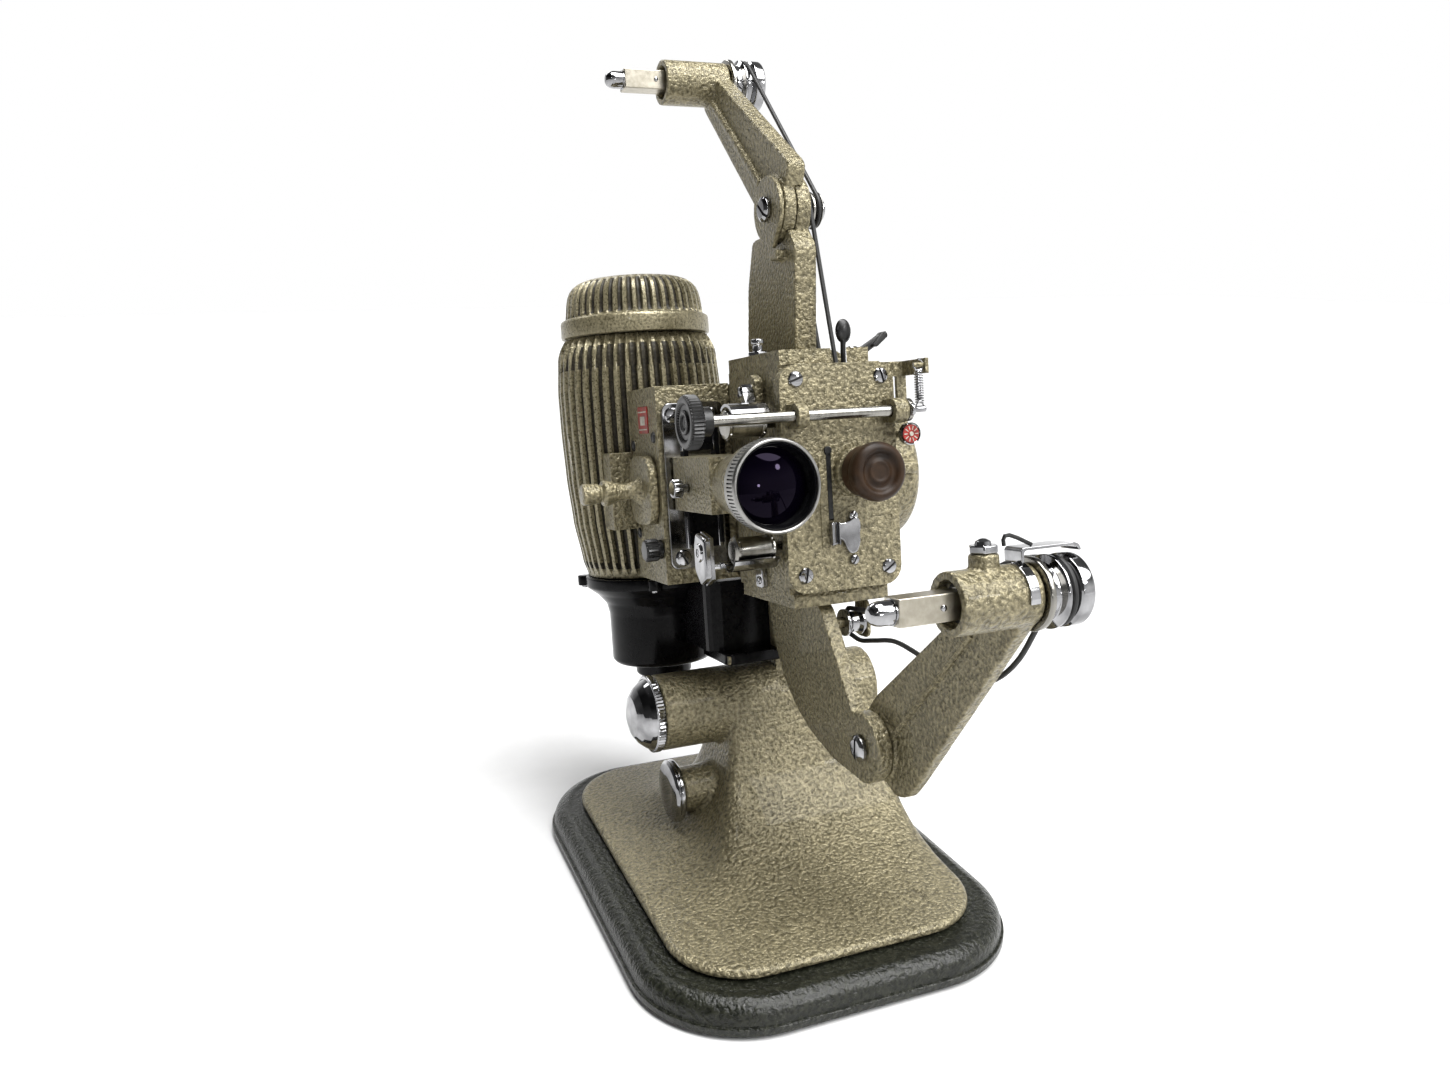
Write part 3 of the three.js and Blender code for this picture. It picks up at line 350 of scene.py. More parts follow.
def tube(points, radius, closed=False, sides=10):
    """Round section along a run of points, with capped ends unless closed."""
    path = [Vector(p) for p in points]
    n, verts, faces, side = len(path), [], [], None
    for i, point in enumerate(path):
        before = path[i - 1] if closed or i else path[i]
        after = path[(i + 1) % n] if closed or i < n - 1 else path[i]
        along = (after - before).normalized()
        if side is None:
            side = along.cross(Vector((1, 0.02, 0.01)))
            side = side if side.length > 0.1 else along.cross(Vector((0, 0, 1)))
        side = (side - along * side.dot(along)).normalized()
        other = along.cross(side)
        for k in range(sides):
            angle = 2 * math.pi * k / sides
            verts.append(point + (side * math.cos(angle) + other * math.sin(angle)) * radius)
    for i in range(n if closed else n - 1):
        for k in range(sides):
            a, b = i * sides + k, i * sides + (k + 1) % sides
            j = (i + 1) % n
            faces.append((a, b, j * sides + (k + 1) % sides, j * sides + k))
    if not closed:
        faces += [tuple(range(sides)), tuple(range(n * sides - 1, (n - 1) * sides - 1, -1))]
    return raw(verts, faces)


def rounded(left, far, front, back, radii, steps=12):
    """Points of a rectangle with its own radius at each corner, from the front right, anticlockwise."""
    radii = radii if isinstance(radii, (list, tuple)) else [radii] * 4
    fr, br, bl, fl = radii
    corners = [(far - fr, front + fr, fr, -90), (far - br, back - br, br, 0),
        (left + bl, back - bl, bl, 90), (left + fl, front + fl, fl, 180)]
    points = []
    for u, v, r, start in corners:
        for i in range(steps + 1):
            points.append(polar((u, v), r, start + 90 * i / steps))
    return points


def loft(rings):
    """Skin over level outlines of equal count, each (z, points), closed by caps."""
    n = len(rings[0][1])
    verts = [(x, y, z) for z, points in rings for x, y in points]
    faces = [tuple(range(n)), tuple(range(len(verts) - 1, len(verts) - n - 1, -1))]
    for ring in range(len(rings) - 1):
        for i in range(n):
            a, b = ring * n + i, ring * n + (i + 1) % n
            faces.append((a, b, b + n, a + n))
    return raw(verts, faces)


def sector(centre, inner, outer, start, end, steps=24):
    """Outline of part of a ring between two directions."""
    points = []
    for radius, a, b in ((outer, start, end), (inner, end, start)):
        points += [polar(centre, radius, a + (b - a) * i / steps) for i in range(steps + 1)]
    return points


def combine(first, others, operation):
    """Boolean of a scratch object with others, applied; the others are removed."""
    for other in others:
        tool = first.modifiers.new("boolean", "BOOLEAN")
        tool.operation = operation
        tool.solver = "EXACT"
        tool.object = other
    bake(first)
    for other in others:
        bpy.data.objects.remove(other)
    return first


def cast(solids, cuts=(), voxel=0.6, passes=6):
    """Union of closed bodies, cut, then remeshed and smoothed so that its corners read as cast."""
    item = spread(solids[0])
    if len(solids) > 1:
        combine(item, [spread(s) for s in solids[1:]], "UNION")
    if cuts:
        combine(item, [spread(c) for c in cuts], "DIFFERENCE")
    remesh = item.modifiers.new("remesh", "REMESH")
    remesh.mode = "VOXEL"
    remesh.voxel_size = voxel
    smooth = item.modifiers.new("smooth", "SMOOTH")
    smooth.factor = 0.5
    smooth.iterations = passes
    return bake(item)


def shade(item, sharp):
    """Smooth shading that breaks at edges sharper than an angle."""
    bm = bmesh.new()
    bm.from_mesh(item.data)
    for face in bm.faces:
        face.smooth = True
    for edge in bm.edges:
        edge.smooth = not (len(edge.link_faces) == 2 and edge.calc_face_angle(0) > math.radians(sharp))
    bm.to_mesh(item.data)
    bm.free()


def ease(item, width, angle):
    """Rounds the edges sharper than an angle by a width in millimetres."""
    edge = item.modifiers.new("bevel", "BEVEL")
    edge.width = width / 1000
    edge.segments = 3
    edge.limit_method = "ANGLE"
    edge.angle_limit = math.radians(angle)


def piece(name, shape, material, body="head", space=HEAD, node=None, bevel=0.0, sharp=35, second=None):
    """Names, places, coats and hands over a bmesh or an object as one piece on a body."""
    item = shape if isinstance(shape, bpy.types.Object) else spread(shape)
    item.name = item.data.name = name
    item.data.transform(space)
    item.data.materials.append(material)
    if second:
        item.data.materials.append(second)
    if bevel:
        ease(item, bevel, 40)
    shade(item, sharp)
    if node:
        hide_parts(node)
    if body:
        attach(item, body)
    return item


def several(name, shapes, material, body="head", **options):
    """Several closed bodies as one piece."""
    whole = bmesh.new()
    for shape in shapes:
        data = bpy.data.meshes.new("part")
        shape.to_mesh(data)
        shape.free()
        whole.from_mesh(data)
        bpy.data.meshes.remove(data)
    return piece(name, whole, material, body, **options)


def dress(node, material, bevel=0.0):
    """Keeps a CAD node's shape: its material and a small edge radius come by modifiers only."""
    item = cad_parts[node]
    item.data.materials.clear()
    item.data.materials.append(material)
    weld = item.modifiers.new("weld", "WELD")
    weld.merge_threshold = 0.00001
    if bevel:
        ease(item, bevel, 30)


def screw(name, axis, at, face, out, radius, body, angle=30, material=CHROME, height=1.3):
    """Slotted round-head screw standing out of a face; out is +1 or -1 along the axis."""
    profile = [(0, -0.3), (radius, -0.3), (radius, height * 0.3), (radius * 0.86, height * 0.72),
               (radius * 0.5, height * 0.95), (0, height)]
    head = spread(lathe(axis, [(r, face + out * h) for r, h in profile], at, 28))
    c, s = math.cos(math.radians(angle)), math.sin(math.radians(angle))
    corners = [(-radius * 1.3, -radius * 0.14), (radius * 1.3, -radius * 0.14),
               (radius * 1.3, radius * 0.14), (-radius * 1.3, radius * 0.14)]
    outline = swivel(corners, at, angle)
    floor = face + out * height * 0.45
    slot_cut = prism(axis, outline, min(floor, floor + out * 3), max(floor, floor + out * 3))
    combine(head, [spread(slot_cut)], "DIFFERENCE")
    along = "xyz".index(axis)
    for face in head.data.polygons:
        u, v = [face.center[k] - at[j] for j, k in enumerate(k for k in range(3) if k != along)]
        slot_shade = abs(v * c - u * s) < radius * 0.15 and abs(u * c + v * s) < radius * 0.98
        # Faces down in the slot take the second, dark material: painted shade in the slot.
        face.material_index = int(slot_shade and (face.center[along] - floor) * out > -0.01)
    piece(name, head, material, body, second=DARK_AND_SHADE)


def taut(a, b):
    """Points of a belt round two pulleys on X shafts, each (x, y, z, radius)."""
    heading = math.atan2(b[2] - a[2], b[1] - a[1])
    lean = math.acos((a[3] - b[3]) / math.hypot(b[1] - a[1], b[2] - a[2]))

    def wrap(p, start, end):
        return [(p[0], p[1] + p[3] * math.cos(start + (end - start) * i / 20),
                 p[2] + p[3] * math.sin(start + (end - start) * i / 20)) for i in range(21)]

    def between(p, q):
        return [tuple(u + (v - u) * t / 12 for u, v in zip(p, q)) for t in range(1, 12)]

    far = wrap(b, heading - lean, heading + lean)
    near = wrap(a, heading + lean, heading - lean + 2 * math.pi)
    return [*far, *between(far[-1], near[0]), *near, *between(near[-1], far[0])]


def smooth_run(points, per=8):
    """Closed Catmull-Rom run through points."""
    n, result = len(points), []
    path = [Vector(p) for p in points]
    for i in range(n):
        p0, p1, p2, p3 = path[i - 1], path[i], path[(i + 1) % n], path[(i + 2) % n]
        for k in range(per):
            result.append(glide(p0, p1, p2, p3, k / per))
    return result


# ---------------- foot

PLINTH_STEPS = [(1.5, 0.4), (1.8, 0.05), (4.2, 0), (4.55, 0.25), (4.6, 0.9), (5.2, 1.05), (7.8, 1.4),
    (9.4, 2.2), (10.6, 3.3), (11.5, 4.7), (12.1, 6.1), (12.45, 7.3), (12.3, 7.9), (12.3, 10)]
piece(
    "plinth_body",
    loft([(z, rounded(-75 + i, 75 - i, -100.25 + i, 100.25 - i, 43.5 - i, 20)) for z, i in PLINTH_STEPS]),
    WRINKLE, "base", space=BASE, node="plinth",
)
dress("base_pad", RUBBER, 0.3)

# z, left, right, front, back, rear radius, front radius
COLUMN = [
    (12.9, -61.1, 61.1, -85.5, 86.7, 28.9, 28.9), (15.2, -61.1, 61.1, -85.5, 86.7, 28.9, 28.9),
    (16.4, -59.9, 60.2, -84.3, 85.5, 27.6, 27.6), (17.2, -50, 60.6, -70, 78, 27, 24),
    (18.4, -38.5, 61, -52, 68, 25, 18), (20.6, -30.2, 61, -39.5, 62, 23, 14),
    (24, -25, 61, -28, 56.5, 20, 10), (30, -19.6, 61, -16, 51, 18, 7), (40, -14.5, 61, -4, 46, 15, 5),
    (52, -11, 61, 3, 43, 13, 4), (62, -9.6, 61, 6.2, 41.3, 12.4, 3.4), (69, -9, 61, 8, 40, 12, 3),
]


def column_rings():
    """Smooth run through the rows: a Catmull-Rom step between each pair from the plate's edge up."""
    rings = [(row[0], rounded(*row[1:5], [row[6], row[5], row[5], row[6]], 10)) for row in COLUMN[:2]]
    rows = [Vector(row) for row in COLUMN[2:]]
    for i in range(len(rows) - 1):
        p0, p1, p2 = rows[max(i - 1, 0)], rows[i], rows[i + 1]
        p3 = rows[min(i + 2, len(rows) - 1)]
        for k in range(6 if i < len(rows) - 2 else 7):
            row = glide(p0, p1, p2, p3, k / 6)
            rings.append((row[0], rounded(*row[1:5], [row[6], row[5], row[5], row[6]], 10)))
    return rings


foot = cast(
    [
        loft(column_rings()),
        cylinder("x", 15.9, -37, 61, PIVOT, 96),
        lathe("x", [(0, -28.9), (9.6, -28.9), (9.6, -20), (10.4, -14), (14, -6), (0, -6)], TILT, 64),
    ],
    cuts=[
        block(15.9, 36.1, 10.5, 37.5, 44, 92),
        cylinder("x", 4.3, -40, 59, PIVOT, 32),
        cylinder("x", 1.7, 58, 63, PIVOT, 24),
        cylinder("x", 4.3, -40, 55, TILT, 32),
        loft([(12, rounded(-29, 55, -35, 59, 12)), (24, rounded(-20, 56, -21, 51, 9)),
              (42, rounded(-8, 57, 2, 41, 5)), (52, rounded(-5.5, 57, 9, 38, 4))]),
    ],
    voxel=0.75, passes=9,
)
piece("foot_body", foot, HAMMER, "base", space=BASE, node="foot_casting", sharp=60)

DOME = [(0, -49.2), (4, -48.9), (8.4, -47.6), (11.6, -45.4), (13.8, -42.8), (14.8, -41), (15, -40.6),
    (16.2, -40.4), (16.2, -37.6), (15.4, -37.3), (0, -37.3)]
piece("clamp_nut", lathe("x", DOME, PIVOT, 288, 0.3, (72, 0.45, -40.45, -37.5, 0.8)), CHROME, "clamp",
      space=BASE, node="clamp_dome")
DISC = [(0, -33.9), (7, -34.3), (11.8, -33.8), (13.2, -32.8), (13.2, -32.3), (12.7, -31.95), (13.2, -31.6),
    (13.2, -30.3), (12.2, -29.5), (4, -29.4), (4, 54), (0, 54)]
piece("tilt_disc", lathe("x", DISC, TILT, 96, 0.35), CHROME, "tilt_adjuster", space=BASE)
piece("tilt_cam", cylinder("x", 7.5, 20, 28, (21, 34.4), 48, 0.4), STEEL,
      "tilt_adjuster", space=BASE, node="tilt_knob")
dress("pivot_shaft", STEEL)

# ---------------- gear case

castings = {"head_bracket": 0.9, "gear_case": 0.7, "front_cover": 0.7, "rear_case": 0.9, "lamp_box": 0.9,
            "spring_bracket": 0.35}
for node, bevel in castings.items():
    dress(node, HAMMER, bevel)

piece("cover_boss", lathe("y", [(3, -53.8), (8.9, -53.8), (8.9, -56.6), (8.4, -57.2), (3, -57.2)], SHAFT,
    64, 0.3), HAMMER)
for index, (x0, x1) in enumerate(((-4.8, -0.6), (33.8, 39.6))):
    piece(f"rod_bush_{index}", lathe("x", [(2.3, x0), (4.5, x0), (4.5, x1), (2.3, x1)], ROD, 48, 0.5),
          HAMMER)
cover_screws = ((-0.6, 201.9, 20), (33.8, 201.9, 105), (-0.6, 131.4, 80), (33.8, 131.4, 35))
for index, (x, z, angle) in enumerate(cover_screws):
    screw(f"cover_screw_{index}", "y", (x, z), COVER_FACE, -1, 2.9, "head", angle)
for index, (x, z) in enumerate(((19.6, 151.6), (19.3, 135.4))):
    screw(f"latch_screw_{index}", "y", (x, z), COVER_FACE, -1, 1.9, "head", 60)
for index, (x, z) in enumerate(((-3.4, 143.2), (27, 127.8), (36.6, 150))):
    piece(f"cover_pin_{index}", lathe("y", [(0, -54.7), (0.9, -54.5), (1.2, -53.8), (0, -53.8)], (x, z), 20),
          HAMMER)
piece("cover_strip", block(6.6, 9.8, -54.35, -53.8, 141, 174.5), HAMMER, bevel=0.25)
piece("slot_bar", cast([cylinder("y", 1.5, -54.8, -53, (10.6, 176), 24),
                        block(9.7, 11.5, -54.5, -53, 151, 176)], (), 0.25, 3), DARK_AND_SHADE)

CUP = [(0, 58.6), (19, 58.6), (24.6, 57.4), (26.6, 55), (27, 51), (27, 36.8), (24.8, 36.8), (24.8, 50.6),
    (23, 55), (0, 56.2)]
piece("side_gear_cup", lathe("x", CUP, SIDE_GEAR, 128, 1.2), HAMMER, node="side_gear_cover")
piece("side_gear_lug", lathe("x", [(0, 36.8), (2.6, 36.8), (2.6, 53.6), (0, 54)], (-43, 167), 32, 0.5),
      HAMMER)
rear_screws = ((3.6, 129, 15), (32.6, 129, 80), (3.6, 198.8, 120), (32.6, 198.8, 50))
for index, (y, z, angle) in enumerate(rear_screws):
    screw(f"rear_screw_{index}", "x", (y, z), 36.4, 1, 2.2, "head", angle, height=1)
piece("side_gear_hub", lathe("x", [(0, 58.3), (6.4, 58.3), (6, 59), (0, 59)], SIDE_GEAR, 48), HAMMER)
screw("side_gear_screw", "x", SIDE_GEAR, 58.6, 1, 2.1, "head", 10, height=0.9)

for index, (x, y, angle) in enumerate(((2, -10, 15), (28, -44, 70))):
    screw(f"top_screw_{index}", "z", (x, y), 212.7, 1, 2.2, "head", angle, height=0.9)
piece("top_pin", lathe("z", [(0, 212.5), (3.1, 212.5), (3.1, 214), (2, 214.4), (2, 216.8), (2.6, 217.3),
                             (2.6, 219), (0, 219.6)], (0, -20.7), 40, 0.3), CHROME)
piece("pin_nut", prism("z", [polar((0, -20.7), 4.2, 60 * k + 10) for k in range(6)], 212.6, 214.2), CHROME,
    bevel=0.3)

knob_profile = [(0, -57.4), (6.4, -57.4), (6.4, -58.8), (8.4, -59.6), (9.3, -61), (9.3, -65.6),
    (8.9, -66.4), (9.8, -67.2), (10.5, -68.6), (10.6, -71), (10.2, -72.5), (9.1, -73.5), (7.9, -73.7),
    (7.1, -73.2), (6.4, -72.2), (5.6, -71.8), (4.6, -72), (3.9, -72.5), (3.4, -72.6), (2.6, -72.3),
    (0, -72.3)]
piece("inching_grip", lathe("y", knob_profile, SHAFT, 96, 0.5), BROWN, "main_drive", node="inching_knob")
dress("main_shaft", STEEL)
dress("shutter", DARK_AND_SHADE)

# ---------------- controls

piece("control_shaft", lathe("x", [(0, -36.2), (2, -36.2), (2, 40), (4.2, 40), (4.2, 41.6), (1.2, 41.6),
                                   (0, 41.6)], ROD, 40, 0.15), STEEL, "control",
      node="control_rod")
crank = [(-65.2, 187), (-65.2, 190.6), (-58, 192.6), (-56.4, 188.8), (-58, 185)]
crank_arm = prism("x", soften(crank, 1.5), 40.2, 41.6)
crank_pin = cylinder("x", 1.2, 41, 46.4, (CRANK_Y, 188.8), 20)
piece("crank_web", cast([crank_arm, crank_pin], (), 0.25, 3), CHROME, "control")
KNOB = [(0, -45.4), (2.6, -45.4), (3, -46), (3.8, -46), (4.2, -45.2), (6.4, -45.2), (7, -46), (8.5, -46),
    (9.35, -45.2), (9.35, -41.5), (8.5, -41), (5, -41), (5, -36.5), (0, -36.5)]
piece("rod_grip", lathe("x", KNOB, ROD, 264, 0.3, (44, 0.55, -45.7, -41.2, 0.7)), BAKELITE, "control",
      node="rod_knob")
SPRING_X = 44.2
SPRING_TURNS = 13
TURN_STEPS = 14
coil = []
for k in range(SPRING_TURNS * TURN_STEPS + 1):
    t = k / (SPRING_TURNS * TURN_STEPS)
    angle = 2 * math.pi * SPRING_TURNS * t
    coil.append((SPRING_X + 1.45 * math.cos(angle), CRANK_Y + 1.45 * math.sin(angle), 190.9 + 11.6 * t))
piece("return_spring", tube(coil, 0.28, sides=8), CHROME, node="rod_spring")
hook = [(SPRING_X + 2 * math.sin(a / 5 * math.pi), CRANK_Y, 204.6 + 2 * math.cos(a / 5 * math.pi))
        for a in range(9)]
piece("spring_hook", tube(hook, 0.5), CHROME)
loop = [(SPRING_X + 1.6 * math.sin(a / 6 * math.pi), CRANK_Y, 189.6 + 1.6 * math.cos(a / 6 * math.pi))
        for a in range(12)]
piece("spring_loop", tube(loop, 0.28, True), CHROME)

piece("dial_disc", cylinder("y", 3.3, -61.9, -60, DIAL, 48), RED, "dial", node="red_dial")
piece("dial_rim", lathe("y", [(3.3, -59.7), (4.1, -59.7), (4.1, -61.8), (3.7, -62.2), (3.3, -61.8)],
                        DIAL, 64), CHROME, "dial")
marks = []
for k in range(10):
    corners = ((1.5, -0.14), (2.9, -0.22), (2.9, 0.22), (1.5, 0.14))
    marks.append(prism("y", swivel(corners, DIAL, 36 * k), -62.05, -61.8))
marks.append(cylinder("y", 0.8, -62.3, -61.8, DIAL, 20))
several("dial_marks", marks, CREAM, "dial")

piece("latch_tab", cast([
    prism("y", soften([(12.2, 149.4), (16.6, 149.4), (20.6, 151.6), (22, 148.6), (21.4, 145), (21.4, 141),
                       (19.8, 138), (17, 137.8), (15.6, 140), (14.6, 143), (12.2, 144)], 1.6), -55.8, -54.7),
    block(9.2, 12.8, -57.2, -54.7, 141.6, 149.8)],
    [block(10, 12.1, -58, -55.2, 141, 151)], 0.28, 3), CHROME, "framing", node="framing_lever")

spoon = [(0, 216)] + [(3.4 * math.sin(math.pi * k / 16), 221 - 4.8 * math.cos(math.pi * k / 16))
                      for k in range(1, 16)] + [(0, 225.8)]
bowl = lathe("z", spoon, (0, 0), 40)
bmesh.ops.scale(bowl, vec=(1, 0.42, 1), verts=bowl.verts)
bmesh.ops.translate(bowl, vec=(35.3, -24, 0), verts=bowl.verts)
stalk = tube([(34.8, -24, 207.9), (34.8, -24, 212), (35.1, -24, 218)], 1.1)
piece("spoon_grip", cast([bowl, stalk], (), 0.3, 3), BAKELITE, "spoon", node="spoon_lever")
piece("flat_grip", cast([
    prism("y", soften([(33.6, 208.6), (36, 208.6), (44, 213.6), (49.6, 218), (48.6, 220), (42.6, 216.4),
                       (34, 211.6)], 1), -32, -30.4),
    prism("y", soften([(42.6, 214.2), (44.4, 213.6), (49.7, 217.8), (48.5, 220)], 0.8), -34, -28.4),
    cylinder("z", 1.6, 207.9, 210.6, (34.8, -31.2), 20)], (), 0.3, 3),
    BAKELITE, "flat", node="flat_lever")

# ---------------- film path

for tag, axis_at, body in (("upper", (-44, 187.3), "upper_feed"), ("lower", (-45.5, 142), "lower_feed")):
    drum = [(0, -25.5), (3.6, -25.5), (4.2, -25.2), (5.2, -24.8), (5.2, -23.6), (4.8, -23.3), (4.8, -11.6),
        (5.2, -11.3), (5.2, -10.2), (4.2, -9.6), (2, -9.6), (2, 1), (3.5, 1), (3.5, 5), (0, 5)]
    piece(f"{tag}_drum", lathe("x", drum, axis_at, 72, 0.2), STEEL, body, node=f"{tag}_sprocket")
    teeth = []
    for k in range(8):
        for x in (-23.9, -11.1):
            angle = 2 * math.pi * k / 8
            y, z = axis_at[0] + 5.15 * math.cos(angle), axis_at[1] + 5.15 * math.sin(angle)
            tooth = [(0, x - 0.35), (0.5, x - 0.25), (0.5, x + 0.25), (0, x + 0.35)]
            teeth.append(lathe("x", tooth, (y, z), 8))
    several(f"{tag}_teeth", teeth, STEEL, body)
dress("upper_keeper", CHROME, 0.25)
dress("lower_keeper", CHROME, 0.25)
shield = [(-41, 147), (-32, 149), (-29.5, 144), (-29.5, 134), (-35, 129), (-41, 132)]
shield = [(y * 0.97 - 1.06, z * 0.97 + 4.2) for y, z in shield]
piece("shield_plate", prism("x", soften(shield, 1.2), -34.4, -30.7), CHROME, "lower_shoe", bevel=0.9)
piece("shield_ring", lathe("x", [(1.6, -35.1), (3.2, -35.1), (3.6, -34.2), (1.6, -34.2)], SHIELD, 32),
      CHROME, "lower_shoe")
screw("shield_screw", "x", SHIELD, -34.4, -1, 1.5, "lower_shoe", 40, height=0.8)
screw("keeper_screw", "x", (-33, 199), -13.4, -1, 2, "upper_shoe", 70, height=0.8)
piece("guide_lug", cast([
    prism("x", soften([(-36, 193.5), (-28, 193.5), (-28, 203.5), (-31, 205.6), (-36, 203.5)], 2), -8.6, -5),
    cylinder("x", 2.6, -9.2, -5, (-33, 199), 24)], (), 0.35, 4), HAMMER)
bracket = [(-29.5, 124.6), (-23, 124.6), (-23, 132), (-26, 134.5), (-29.5, 132)]
piece("lower_bracket", prism("x", soften(bracket, 1.6), -7.4, -5), CHROME, bevel=0.4)
screw("lower_bracket_screw", "x", (-26.4, 127.6), -7.4, -1, 1.6, "head", 20, height=0.8)

dress("gate_plate", CHROME, 0.4)
for index, (x, z, angle) in enumerate(((-27.3, 192.6, 35), (-26.5, 135.4, 120), (-10.2, 192.8, 70))):
    screw(f"gate_screw_{index}", "y", (x, z), 5, -1, 3.3 if index < 2 else 2.2, "head", angle)
several("gate_channel", [block(-24.2, -22.4, 2.4, 5.1, 140.5, 187), block(-11, -9.2, 2.4, 5.1, 140.5, 187),
                         block(-24.4, -9, 4.3, 5.1, 139, 153), block(-24.4, -9, 4.3, 5.1, 178, 189)],
        ENAMEL, bevel=0.3)
several("gate_rails", [block(-24.6, -22.8, 3.6, 5.2, 139, 152), block(-11.2, -9.4, 3.6, 5.2, 139, 152),
                       block(-24.6, -22.8, 3.6, 5.2, 178, 189), block(-11.2, -9.4, 3.6, 5.2, 178, 189)],
        CHROME, bevel=0.3)

# ---------------- lamphouse

SKIN = [(122.7, 29.5), (130, 31.6), (148, 34.6), (168, 36.3), (190, 37.1), (206, 37.2), (220, 36.2),
    (229.6, 32.4)]
FINS = 44


def skin_radius(z):
    """Radius of the lamphouse skin at a height."""
    for (z0, r0), (z1, r1) in zip(SKIN, SKIN[1:]):
        if z <= z1:
            t = (z - z0) / (z1 - z0)
            t = t * t * (3 - 2 * t) * 0.35 + t * 0.65 if z < 220 else t ** 1.8
            return r0 + (r1 - r0) * t
    return SKIN[-1][1]


def groove(angle, half):
    """How deep in a groove an angle lies, from 0 on the ridges to 1 at the middle."""
    off = abs((angle * FINS / (2 * math.pi)) % 1 - 0.5) * 2
    return 1 - (off / half) ** 4 if off < half else 0.0


def fin_radius(z, angle):
    """Ridges that run out in lancet points under the cap, with grooves that close towards the foot."""
    top = min(1.0, max(0.0, (227 - z) / 15))
    low = min(1.0, max(0.0, (z - 124.5) / 6))
    half = 1 - 0.36 * math.sqrt(top) if top < 1 else 0.64 * math.sqrt(low)
    depth = 2.9 * min(1.0, low * 2)
    return skin_radius(z) - depth * (groove(angle, half) if half > 0.02 else 0)


def shell(levels, sides, outer, inner, keep):
    """Double-walled grid round the lamp; cells outside keep are left open and edged."""
    cx, cy = LAMP
    verts = []
    for wall in (outer, inner):
        for z in levels:
            for k in range(sides):
                angle = 2 * math.pi * k / sides
                r = wall(z, angle)
                verts.append((cx + r * math.cos(angle), cy + r * math.sin(angle), z))
    n = len(levels)

    def at(wall, level, k):
        return (wall * n + level) * sides + k % sides

    kept = {(i, k) for i in range(n - 1) for k in range(sides)
            if keep((levels[i] + levels[i + 1]) / 2, 2 * math.pi * (k + 0.5) / sides)}
    faces = []
    for i, k in kept:
        faces.append((at(0, i, k), at(0, i, k + 1), at(0, i + 1, k + 1), at(0, i + 1, k)))
        faces.append((at(1, i, k), at(1, i + 1, k), at(1, i + 1, k + 1), at(1, i, k + 1)))
        for beyond, a, b in (((i - 1, k), (i, k), (i, k + 1)), ((i + 1, k), (i + 1, k + 1), (i + 1, k)),
                             ((i, (k - 1) % sides), (i + 1, k), (i, k)),
                             ((i, (k + 1) % sides), (i, k + 1), (i + 1, k + 1))):
            if beyond not in kept:
                faces.append((at(0, *a), at(1, *a), at(1, *b), at(0, *b)))
    return raw(verts, faces)


def outside_window(z, angle):
    """Whether a spot on the skin lies clear of the opening towards the gate."""
    x, y = 36 * math.cos(angle), 36 * math.sin(angle)
    return not (abs(x) < 12 and y < 0 and 128 < z < 201)


def paint_groove_shade(mesh, low, high, half):
    """Marks the floor of each groove between two heights for painted shade, a darker copy of the enamel."""
    for face in mesh.faces:
        spot = face.calc_center_median()
        out = Vector((spot.x - LAMP[0], spot.y - LAMP[1], 0))
        in_groove_shade = low < spot.z < high and groove(math.atan2(out.y, out.x) % (2 * math.pi), half) > 0.3
        face.material_index = int(in_groove_shade and face.normal.dot(out) > 0)


levels = [122.7 + (229.6 - 122.7) * k / 76 for k in range(77)]
fins = shell(levels, FINS * 12, fin_radius, lambda z, a: skin_radius(z) - 3.2, outside_window)
fins.normal_update()
# The groove floors of the lamphouse take the painted shade.
paint_groove_shade(fins, 126.5, 225, 0.64)
piece("fluted_lamphouse", fins, FIN_LIT, node="lamphouse_body", sharp=50, second=GROOVE_SHADE)

CAP = [(31.4, 238.6), (31.3, 239.2), (31.2, 240.4), (30.9, 243), (30.5, 246), (29.9, 248.6), (28.9, 250.9),
    (27.4, 252.7), (25.4, 254.2), (22.4, 255.4), (18, 256.1), (10, 256.6), (0, 256.8)]
CAP_WALL = [(0, 253.6), (21, 251.4), (25.8, 247.6), (27.8, 243), (28.6, 238), (30.2, 230.1), (33, 230.1),
    (33.6, 230.4), (33.75, 231.3), (33.75, 236.8), (33.4, 237.9), (32.4, 238.5)]


def cap_wave(index, r, z, angle):
    """Grooves on the outer wall of the cap that fade at its rim and its crown."""
    if index >= len(CAP) or r < 23:
        return r
    fade = min(1, max(0, z - 238.8) / 1.2) * min(1, max(0, 255 - z) / 2.4)
    return r - 2 * fade * groove(angle, 0.62)


cap = lathe("z", CAP + CAP_WALL, LAMP, FINS * 12, wave=cap_wave)
cap.normal_update()
# The groove floors of the cap take the painted shade.
paint_groove_shade(cap, 239.6, 253.6, 0.6)
piece("fluted_cap", cap, FIN_LIT, "cap", node="lamphouse_cap", sharp=50, second=GROOVE_SHADE)

insides = {"lamp_bulb": CLEAR, "lamp_socket": BRASS, "reflector": MIRROR, "condenser": CLEAR,
           "motor_rotor": STEEL, "fan": STEEL}
for node, material in insides.items():
    dress(node, material)

